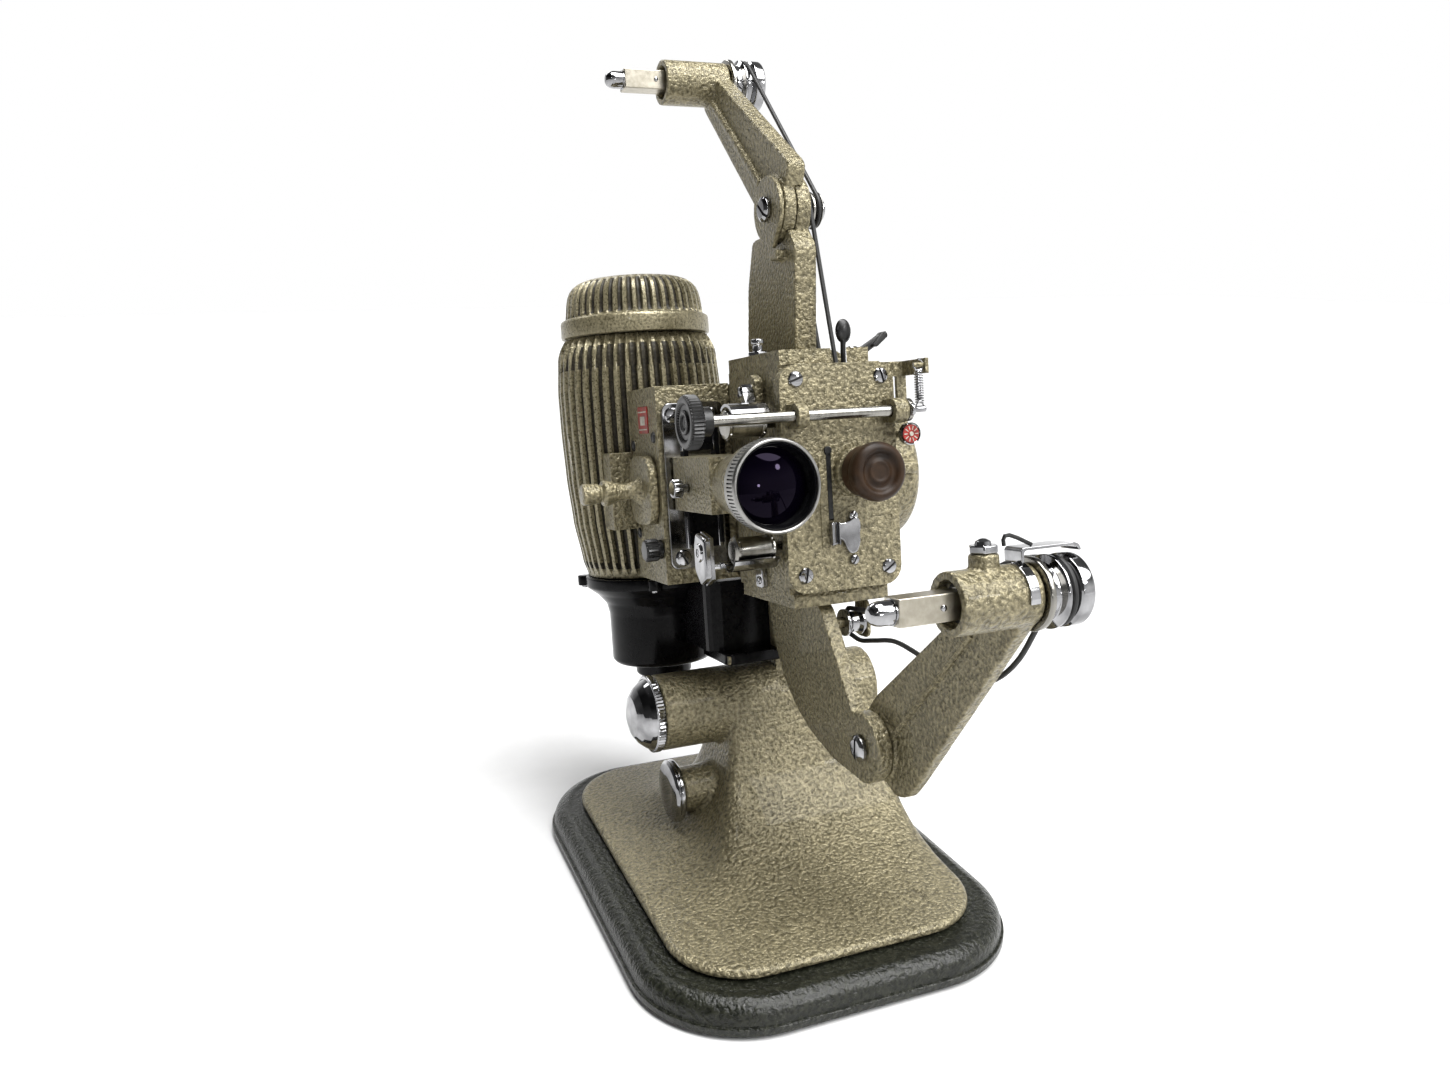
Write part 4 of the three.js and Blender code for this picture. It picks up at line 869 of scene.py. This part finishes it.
piece("adjuster_pad", cast([prism("x", rounded(10.5, 39, 148.5, 177, 9), -36.9, -33.3)], (), 0.5, 10),
      HAMMER, "lamp_adjust", node="lamp_adjuster", sharp=60)
SPOOL = [(0, -35.6), (6.8, -35.6), (6.2, -36.8), (4.8, -38.2), (3.7, -40.4), (3.3, -43), (3.5, -45.4),
    (4.3, -48), (5.2, -50.6), (5.4, -51.6), (5.1, -52.6), (4.3, -53.1), (3.5, -53.3), (3.5, -54),
    (4.1, -54.6), (4.3, -57), (4.5, -60), (4.2, -61.2), (3.2, -61.6), (0, -61.6)]
piece("adjuster_spool", lathe("x", SPOOL, ADJUSTER, 72, 0.4), HAMMER, "lamp_adjust")
SIDE_GRIP = [(0, -40.6), (3.8, -40.6), (4.6, -39.8), (4.6, -35.4), (4, -34.6), (4, -33.3), (0, -33.3)]
piece("side_knob_grip", lathe("x", SIDE_GRIP, (12.2, 139), 120, 0.25, (20, 0.5, -40, -35.2, 0.8)), BAKELITE,
      "side_knob", node="box_knob")
piece("lamp_panel", cast([block(-43.5, -30, 43.5, 57, 145.5, 178.5)], (), 0.5, 10), HAMMER, sharp=60)
for index, (y, z, angle) in enumerate(((12.4, 184.2, 100), (39.6, 144, 40), (40.4, 181, 60))):
    screw(f"box_screw_{index}", "x", (y, z), BOX_FACE, -1, 2.3, "head", angle, DARK_AND_SHADE)
    piece(f"box_boss_{index}", lathe("x", [(0, -33.3), (3.2, -33.3), (3.8, -32.6), (0, -32.6)], (y, z), 32),
          HAMMER)
piece("rating_plate", prism("x", rounded(19, 31, 186, 197, 0.8, 4), -33.5, -32.9), RED, bevel=0.15)
several("plate_bars", [block(-33.65, -33.4, 19.8, 30.2, z, z + 0.5) for z in (187.4, 194.6)]
        + [block(-33.65, -33.4, 22, 28, 189.4, 193)], CREAM, bevel=0.08)

MOTOR_PROFILE = [(0, 73.6), (11.4, 73.6), (13, 75), (13, 80.6), (21.5, 80.6), (23.5, 82.6), (23.5, 104),
    (24.6, 109), (28.4, 113.6), (33.5, 117.6), (33.5, 122.2), (31, 122.2), (31, 118.9), (26.2, 115.6),
    (22.4, 110.6), (21.2, 104.6), (21.2, 87.4), (0, 87.4)]
bodies = [lathe("z", MOTOR_PROFILE, MOTOR, 112, 0.9)]
for degrees in (70, 160, 250, 340):
    spot = polar(MOTOR, 34, degrees)
    bodies.append(cylinder("z", 3.2, 117.6, 122.2, spot, 32, 0.3))
    screw(f"motor_screw_{degrees}", "z", spot, 117.6, -1, 1.7, "head", degrees, CHROME)
several("motor_shell", bodies, ENAMEL, node="motor_housing")
dress("drive_housing", ENAMEL, 1.0)
piece("drive_apron", prism("z", rounded(-8.6, 38.4, 9.6, 41, 3.5, 6), 87.5, 92.4), ENAMEL, bevel=0.8)
INLET_RING = [(5, 36), (8.5, 36), (8.5, 40), (7.4, 40.8), (7.2, 38), (5, 37.6)]
piece("inlet_ring", lathe("x", INLET_RING, INLET, 64, 0.3), BAKELITE)
several("inlet_pins", [lathe("x", [(0, 36), (1.9, 36), (1.9, 39.6), (1.2, 40.4), (0, 40.4)], (y, 108), 24)
                       for y in (43.6, 50.4)], BRASS)
piece("inlet_floor", cylinder("x", 7.6, 35.8, 36.6, INLET, 48), BAKELITE)

# ---------------- lens

collar = [(0, -59.8), (15.8, -59.8), (15.2, -56), (12.2, -44), (11.4, -36), (0, -36)]
holder = cast(
    [block(-29, -8, -37, 3.6, LENS_Z - 10.5, LENS_Z + 10.5),
     lathe("y", soften(collar, 1.5, 4, False), LENS_AXIS, 96)],
    cuts=[block(-7.6, 6, -55, -30, 140, 190),
          cylinder("y", 7.8, -62, 5, LENS_AXIS, 48),
          cylinder("x", 1.7, -30, FILM_X, LENS_CLAMP, 24)],
    voxel=0.5, passes=4)
piece("lens_carrier", holder, HAMMER, "lens_mount", node="lens_holder", sharp=60)
RING = [(7.5, -4), (7.5, -60.2), (15.6, -60.2), (16.1, -60.8), (16.1, -64.2), (16.6, -64.5), (16.6, -69.6),
    (16.2, -70.5), (15.8, -70.7), (15.3, -70.5), (15.1, -69.8), (15, -66), (14.7, -62.4), (6, -62.4),
    (6, -4)]
ring = lathe("y", RING, LENS_AXIS, 760, 0.12, (76, 0.75, -69, -64.6, 5))
# Faces inside the slots round the ring take the dark material: painted shade in the slots.
for face in ring.faces:
    spot = face.calc_center_median()
    angle = math.atan2(spot.z - LENS_Z, spot.x - FILM_X)
    ring_slot_shade = -69.2 < spot.y < -64.4 and (0.5 - 0.5 * math.cos(76 * angle)) ** 5 > 0.3
    face.material_index = int(ring_slot_shade and math.hypot(spot.x - FILM_X, spot.z - LENS_Z) > 15.5)
piece("lens_ring", ring, SPUN, "lens", node="lens_barrel", second=DARK_AND_SHADE)
RECESS = [(13.6, -62.6), (14.95, -62.6), (15.05, -69.6), (14.6, -69.9), (14.4, -68.8), (14.1, -66.4),
    (13.6, -65.4)]
piece("lens_recess", lathe("y", RECESS, LENS_AXIS, 96, 0.15), ENAMEL, "lens")
glass = [(13.4 * k / 12, -66.9 + 2.6 * (k / 12) ** 2) for k in range(1, 13)]
piece("front_element", lathe("y", [(0, -66.9), *glass, (13.4, -62.8), (0, -62.6)], LENS_AXIS, 72), LENS,
      "lens", node="lens_glass")
CLAMP_HEAD = [(0, -35.6), (3.2, -35.6), (3.6, -35.2), (3.6, -32), (3.2, -31.7), (1.7, -31.6), (1.7, -29.4),
    (1.4, -29.3), (1.4, -25.6), (0, -25.6)]
piece("clamp_screw_head", lathe("x", CLAMP_HEAD, LENS_CLAMP, 120, 0.2, (24, 0.35, -35.3, -31.9, 0.8)),
      CHROME, "lens_clamp", node="lens_clamp_screw")

# ---------------- arms

fixed = [(-19.4, 213.1), (-1.8, 213.1), (-1.8, 204.5), (27, 204.5), (27.4, 219), (23.6, 243.5), (16.3, 262),
    (0, 262), (-16, 264), (-24, 254)]
upper_fixed = cast(
    [prism("x", soften(fixed, 2.5), 16.5, 25.8), cylinder("x", ELBOW_HUB, 20, 25.8,
                                                       UPPER_ELBOW, 72),
     block(12.4, 17, -15.6, -9.4, 250, 253.6)],
    cuts=[cylinder("x", 13.2, 14, 19.9, UPPER_ELBOW, 72),
          cylinder("x", ELBOW_BORE, 19, 27, UPPER_ELBOW, 32)],
    voxel=0.5, passes=4)
piece("upper_post", upper_fixed, HAMMER, node="upper_fixed_arm", sharp=60)


def folding(elbow, boss, web, web_right, hub_right, boss_right, rib, extra=(), cuts=()):
    """Folding arm: a web with a rib between its hub on the elbow and its boss for the spindle."""
    solids = [
        prism("x", soften(web, 3), 15.6, web_right),
        cylinder("x", ELBOW_HUB, 14.6, hub_right, elbow, 72),
        cylinder("x", 9.2, -6, boss_right, boss, 72),
        prism("x", rib, 13.6, 16),
        *extra,
    ]
    bores = [cylinder("x", ELBOW_BORE, 13, 26, elbow, 32),
             lathe("x", [(0, -7), (6.7, -7), (6.7, -2.6), (4.9, -1.4), (4.9, boss_right + 1),
                         (0, boss_right + 1)], boss, 48), *cuts]
    return cast(solids, bores, voxel=0.5, passes=7)


upper_web = [(47, 338), (-24.4, 284.6), (-21.6, 278.4), (-12, 262), (-3, 262), (6.7, 271.6), (60.4, 327.5)]
upper_rib = [(46, 327.5), (48, 325.2), (2.4, 280.6), (0.2, 283)]
elbow_gap = cylinder("x", 13.2, 19.7, 24, UPPER_ELBOW, 72)
piece("upper_swing_arm",
      folding(UPPER_ELBOW, UPPER_BOSS, upper_web, 23, 19.6, 22.8, upper_rib, cuts=[elbow_gap]),
      HAMMER, "upper_arm", node="upper_fold_arm", sharp=60)
lower_web = [(-63, 79), (-69.9, 87.1), (-147.5, 139.5), (-160.5, 128), (-97, 62.5), (-89.3, 55.5),
    (-81.7, 54.2), (-75.8, 58.1), (-64, 62)]
lower_rib = [(-86, 79), (-84.4, 76.6), (-134, 119.4), (-136, 121.8)]
oiler_cup = lathe("z", [(0, 140), (4.3, 140), (4.3, 146.8), (3.8, 147.2), (0, 147.2)], OILER, 40)
piece("lower_swing_arm",
      folding(LOWER_ELBOW, LOWER_BOSS, lower_web, 20.3, 20.3, 20.3, lower_rib, extra=[oiler_cup]),
      HAMMER, "lower_arm", node="lower_fold_arm", sharp=60)

piece("lower_bead", tube([(15.2, -83, 75.6), (15.2, -134, 119.6)], 0.9), HAMMER, "lower_arm")
piece("upper_bead", tube([(15.2, 1.3, 281.8), (15.2, 47, 326.3)], 0.9), HAMMER, "upper_arm")

lower_outline = [(4.2, 118.6), (0, 100), (-9.5, 83.1), (-19, 74), (-30.7, 67.2), (-50, 60.6), (-71.8, 57.9),
    (-74, 70), (-66, 83), (-44.7, 118.6)]
piece("lower_post", cast(
    [prism("x", soften(lower_outline, 4, 6), 8.5, 14.3),
     cylinder("x", ELBOW_HUB, 8.5, 14.3, LOWER_ELBOW, 72),
     cylinder("x", 1.8, 14, 28, IDLER, 24),
     prism("x", rounded(-47, -37, 103.6, 118.6, 3), 27.3, 28.8)],
    cuts=[cylinder("x", ELBOW_BORE, 8, 15, LOWER_ELBOW, 32)], voxel=0.45, passes=4),
    HAMMER, node="lower_fixed_arm", sharp=60)

drop = [polar(UPPER_ELBOW, ELBOW_HUB, a) for a in range(-58, 238, 6)] + [(-12.4, 254.4)]
piece("friction_washer", cast([prism("x", soften(drop, 0.8, 2), 12.3, 14.3)],
                              [cylinder("x", ELBOW_BORE, 12, 15, UPPER_ELBOW, 32)], 0.4, 3),
      HAMMER, node="upper_elbow_washer", sharp=60)


def elbow_pin(name, node, elbow, left, far, nut, lean):
    """Slotted pin with its head at the left and a nut at the right."""
    profile = [(0, left), (3.4, left), (4.9, left + 0.9), (4.9, far), (2.6, far), (2.6, nut), (4, nut),
        (4, nut + 2), (0, nut + 2)]
    item = spread(lathe("x", profile, elbow, 64, 0.25))
    outline = swivel([(-0.6, -7), (0.6, -7), (0.6, 7), (-0.6, 7)], elbow, lean)
    combine(item, [spread(prism("x", outline, left - 1, left + 1.3))], "DIFFERENCE")
    piece(name, item, CHROME, node=node)


elbow_pin("upper_elbow_bolt", "upper_elbow_pin", UPPER_ELBOW, 9.6, 11.9, 34, -48)
elbow_pin("lower_elbow_bolt", "lower_elbow_pin", LOWER_ELBOW, 5.9, 8.2, 20.6, 8)

PULLEY = [(0, 22.9), (4.6, 22.9), (4.6, 23.2), (10.5, 23.2), (10.85, 23.6), (10.85, 25), (8.6, 26.4),
    (8.6, 28.4), (10.85, 29.4), (10.85, 30.4), (8.6, 31.2), (8.6, 33.2), (10.75, 34.4), (10.75, 38),
    (10.4, 38.6), (9.5, 38.9), (9, 38.4), (5, 38.2), (4.2, 38.8), (0, 39)]
# Half the side of the square that takes the reel.
REEL_SEAT = 3.97


def spindle(tag, at, shift, body):
    """Square reel seat, its nose, the shaft and the two-groove pulley moved by a shift."""
    nose = [(0, -31), (1.5, -30.85), (2.5, -30.2), (3.2, -29), (3.5, -27.4), (3.5, -23), (0, -23)]
    square = [(at[0] + u * REEL_SEAT, at[1] + v * REEL_SEAT) for u, v in ((-1, -1), (1, -1), (1, 1), (-1, 1))]
    piece(f"{tag}_reel_seat", prism("x", square, -23.4, -3.2), NICKEL, body, bevel=0.35)
    parts = [lathe("x", nose, at, 56, 0.3), cylinder("x", 3.8, -23.9, -23.2, at, 40)]
    several(f"{tag}_nose", parts, CHROME, body)
    wheel = [(r, x + shift) for r, x in PULLEY]
    rims = lathe("x", wheel, at, 96, 0.25)
    for face in rims.faces:
        face.material_index = int(face.calc_center_median().x < 26.2 + shift)
    piece(f"{tag}_pulley", rims, CHROME, body, node=f"{tag}_spindle", second=STEEL)
    shaft = [(0, -3.4), (4.6, -3.2), (4.6, 23 + shift), (0, 23 + shift)]
    piece(f"{tag}_shaft", lathe("x", shaft, at, 48), STEEL, body)
    # The collar takes the dark material where the hub lies in shadow: painted shadow.
    piece(f"{tag}_collar", lathe("x", [(3, -2.2), (6.2, -2.2), (6.2, -1.6), (3, -1.4)], at, 48), DARK_AND_SHADE, body)
    side = at[0] - REEL_SEAT
    catch = [(0, side - 0.7), (0.9, side - 0.3), (1.1, side + 0.6), (0, side + 0.6)]
    piece(f"{tag}_catch", lathe("y", catch, (-9.6, at[1]), 20), CHROME, body)


spindle("upper", UPPER_BOSS, 0, "upper_reel_shaft")
spindle("lower", LOWER_BOSS, -2.5, "lower_reel_shaft")

HEX = [polar(OILER, 4.4, 60 * k) for k in range(6)]
piece("oiler_nut", prism("z", HEX, 147.3, 149.6), CHROME, "lower_arm", bevel=0.4)
piece("oiler_ball", lathe("z", [(0, 149.4), (2.4, 149.4), (2.2, 150.6), (1, 151.3), (0, 151.5)],
                          OILER, 32), CHROME, "lower_arm")

ELBOW_WHEEL = [(2.9, 26.1), (7, 26.1), (7, 26.6), (5.4, 27.2), (5.4, 28.6), (7, 29.6), (7, 30.5),
    (5.4, 31.5), (5.4, 32.9), (7, 33.4), (7, 33.7), (2.9, 33.7)]
DRIVE_WHEEL = [(0, 8), (2, 8), (2, 25.6), (6, 25.6), (6, 26.4), (4.6, 27.2), (4.6, 28.6), (6, 29.4),
    (6, 30.2), (2, 30.2), (2, 33), (0, 33)]
IDLER_WHEEL = [(2.1, 19.4), (5.2, 19.4), (5.2, 20.6), (4, 21.8), (4, 24.6), (5.2, 25.8), (5.2, 27),
    (2.1, 27)]
piece("elbow_wheel", lathe("x", ELBOW_WHEEL, UPPER_ELBOW, 72, 0.15), STEEL, "elbow_pulley",
      node="upper_elbow_pulley")
piece("drive_wheel", lathe("x", DRIVE_WHEEL, UPPER_DRIVE, 48), STEEL, "drive_pulley",
      node="upper_drive_pulley")
piece("idler_wheel", lathe("x", IDLER_WHEEL, IDLER, 64, 0.2), CHROME, "idler", node="idler_roller")
piece("idler_nut", lathe("x", [(0, 28.6), (3.2, 28.6), (3.2, 30.4), (0, 30.8)], IDLER, 32, 0.3), CHROME)

# How far a belt's middle lies above the floor of its groove.
SEAT = 1.15
drive_run = taut((27.9, *UPPER_DRIVE, 4.6 + SEAT), (27.9, *UPPER_ELBOW, 5.4 + SEAT))
piece("drive_belt", tube(drive_run, BELT, True), RUBBER, node="upper_drive_belt")
reel_run = taut((32.2, *UPPER_ELBOW, 5.4 + SEAT), (32.2, *UPPER_BOSS, 8.6 + SEAT))
piece("reel_belt", tube(reel_run, BELT, True), RUBBER, "upper_arm", node="upper_reel_belt")


def arc(at, x, r, start, end, steps):
    """Belt points round a shaft in the plane at x."""
    return [(x, *polar(at, r, start + (end - start) * i / steps)) for i in range(steps + 1)]


slack = [*arc(LOWER_BOSS, 29.7, 9.75, 75, 300, 10), (29.5, -138, 111.6), (28.8, -127, 103.2),
    (28, -115, 99.4), (27.1, -100, 100.2), (26.1, -84, 104.2), (25.4, -70, 106.4), (24.5, -57, 104.8),
    (23.6, -48, 103.6), *arc(IDLER, 23.2, 5.15, -80, 85, 8), (24.4, -58, 116.2), (25.9, -84, 121.4),
    (27.6, -112, 131.2), (29.3, -136, 141)]
belt = piece("slack_belt", tube(smooth_run(slack, 6), BELT, True), RUBBER, None, node="lower_belt")
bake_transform(belt)

GUARD = [(16.2, 143.7), (16.2, 147.2), (17, 148), (34.2, 148), (36, 147.4), (36.8, 145.7), (36, 145.4),
    (35.3, 146.6), (34, 147.1), (17.8, 147.1), (17.2, 146.5), (17.2, 143.7)]
guard = prism("y", soften(GUARD, 0.6, 3), LOWER_BOSS[0] - 4, LOWER_BOSS[0] + 4)
piece("guard_plate", guard, CHROME, "lower_arm", node="belt_guard", bevel=0.2)
clip = sector(LOWER_BOSS, 9.1, 9.95, 96, 188)
piece("guard_clip", prism("x", clip, 14.7, 18), CHROME, "lower_arm", bevel=0.2)
wire = [(11.6, -157, 149), (11.3, -157.2, 150.6), (11.8, -157.2, 151.7), (13.4, -157.2, 151.8),
    (16, -157.2, 150.8), (20.6, -157.2, 148.5)]
piece("guard_wire", tube(wire, 0.6), DARK_AND_SHADE, "lower_arm")

# ---------------- stage and light

floor_bm = bmesh.new()
bmesh.ops.create_grid(floor_bm, x_segments=1, y_segments=1, size=6)
floor_item = spread(floor_bm, "floor")
pale = textured("pale_floor", ((0.7, 0.7, 0.7), (0.72, 0.72, 0.72)), 0.6, scale=60, bump=0.0, cloud=0.02)
floor_item.data.materials.append(pale)
# The studio floor brightens with distance from the object, up to the white behind it.
floor_tree = pale.node_tree
floor_at = floor_tree.nodes.new("ShaderNodeTexCoord")
away = floor_tree.nodes.new("ShaderNodeVectorMath")
away.operation = "LENGTH"
floor_tree.links.new(floor_at.outputs["Object"], away.inputs[0])
floor_shader = floor_tree.nodes["Principled BSDF"]
glow = remap(floor_tree, away.outputs["Value"], 0.7, 3.0, 0.0, 0.3)
floor_tree.links.new(glow, floor_shader.inputs["Emission Strength"])
floor_shader.inputs["Emission Color"].default_value = (1, 1, 1, 1)

# White all round, darker overhead and on one side, so that the bright metal has something to reflect.
world = bpy.data.worlds.new("studio")
bpy.context.scene.world = world
world.use_nodes = True
sky = world.node_tree
heading = sky.nodes.new("ShaderNodeTexCoord")
split = sky.nodes.new("ShaderNodeSeparateXYZ")
sky.links.new(heading.outputs["Generated"], split.inputs["Vector"])
facing = sky.nodes.new("ShaderNodeVectorMath")
facing.operation = "DOT_PRODUCT"
facing.inputs[1].default_value = (-0.98, -0.2, 0)
sky.links.new(heading.outputs["Generated"], facing.inputs[0])
both = sky.nodes.new("ShaderNodeMath")
both.operation = "MULTIPLY"
sky.links.new(remap(sky, split.outputs["Z"], 0.22, 0.5, 1.0, 0.15), both.inputs[0])
sky.links.new(remap(sky, facing.outputs["Value"], 0.05, 0.6, 1.0, 0.1), both.inputs[1])
backdrop = sky.nodes["Background"]
sky.links.new(both.outputs["Value"], backdrop.inputs["Strength"])
backdrop.inputs["Color"].default_value = (1, 1, 1, 1)
bpy.context.scene.view_settings.view_transform = "Standard"


def lamp(name, place, aim, size, power):
    """Area lamp at a place, turned towards its aim."""
    data = bpy.data.lights.new(name, "AREA")
    data.shape = "ELLIPSE"
    data.size, data.size_y = size
    data.energy = power
    item = bpy.data.objects.new(name, data)
    bpy.context.scene.collection.objects.link(item)
    item.location = place
    item.rotation_euler = (Vector(aim) - Vector(place)).to_track_quat("-Z", "Y").to_euler()


sun = bpy.data.lights.new("key", "SUN")
sun.energy = 4.4
sun.angle = math.radians(45)
sun_item = bpy.data.objects.new("key", sun)
bpy.context.scene.collection.objects.link(sun_item)
sun_item.rotation_euler = Vector((-0.45, 0.6, -1)).to_track_quat("-Z", "Y").to_euler()
lamp("spot_low", (0.06, -0.95, 0.3), (0, 0, 0.18), (0.05, 0.05), 0.4)
lamp("spot_high", (-0.55, -1.0, 0.8), (0, 0, 0.2), (0.09, 0.09), 1.2)
lamp("soft_front", (0.7, -1.1, 0.75), (0, 0, 0.2), (0.14, 0.14), 2)
lamp("top", (0.05, -0.05, 1.25), (0, 0, 0.2), (0.6, 0.6), 15)
lamp("rim", (-0.2, 1.1, 1.1), (0, 0, 0.2), (0.9, 0.3), 5)
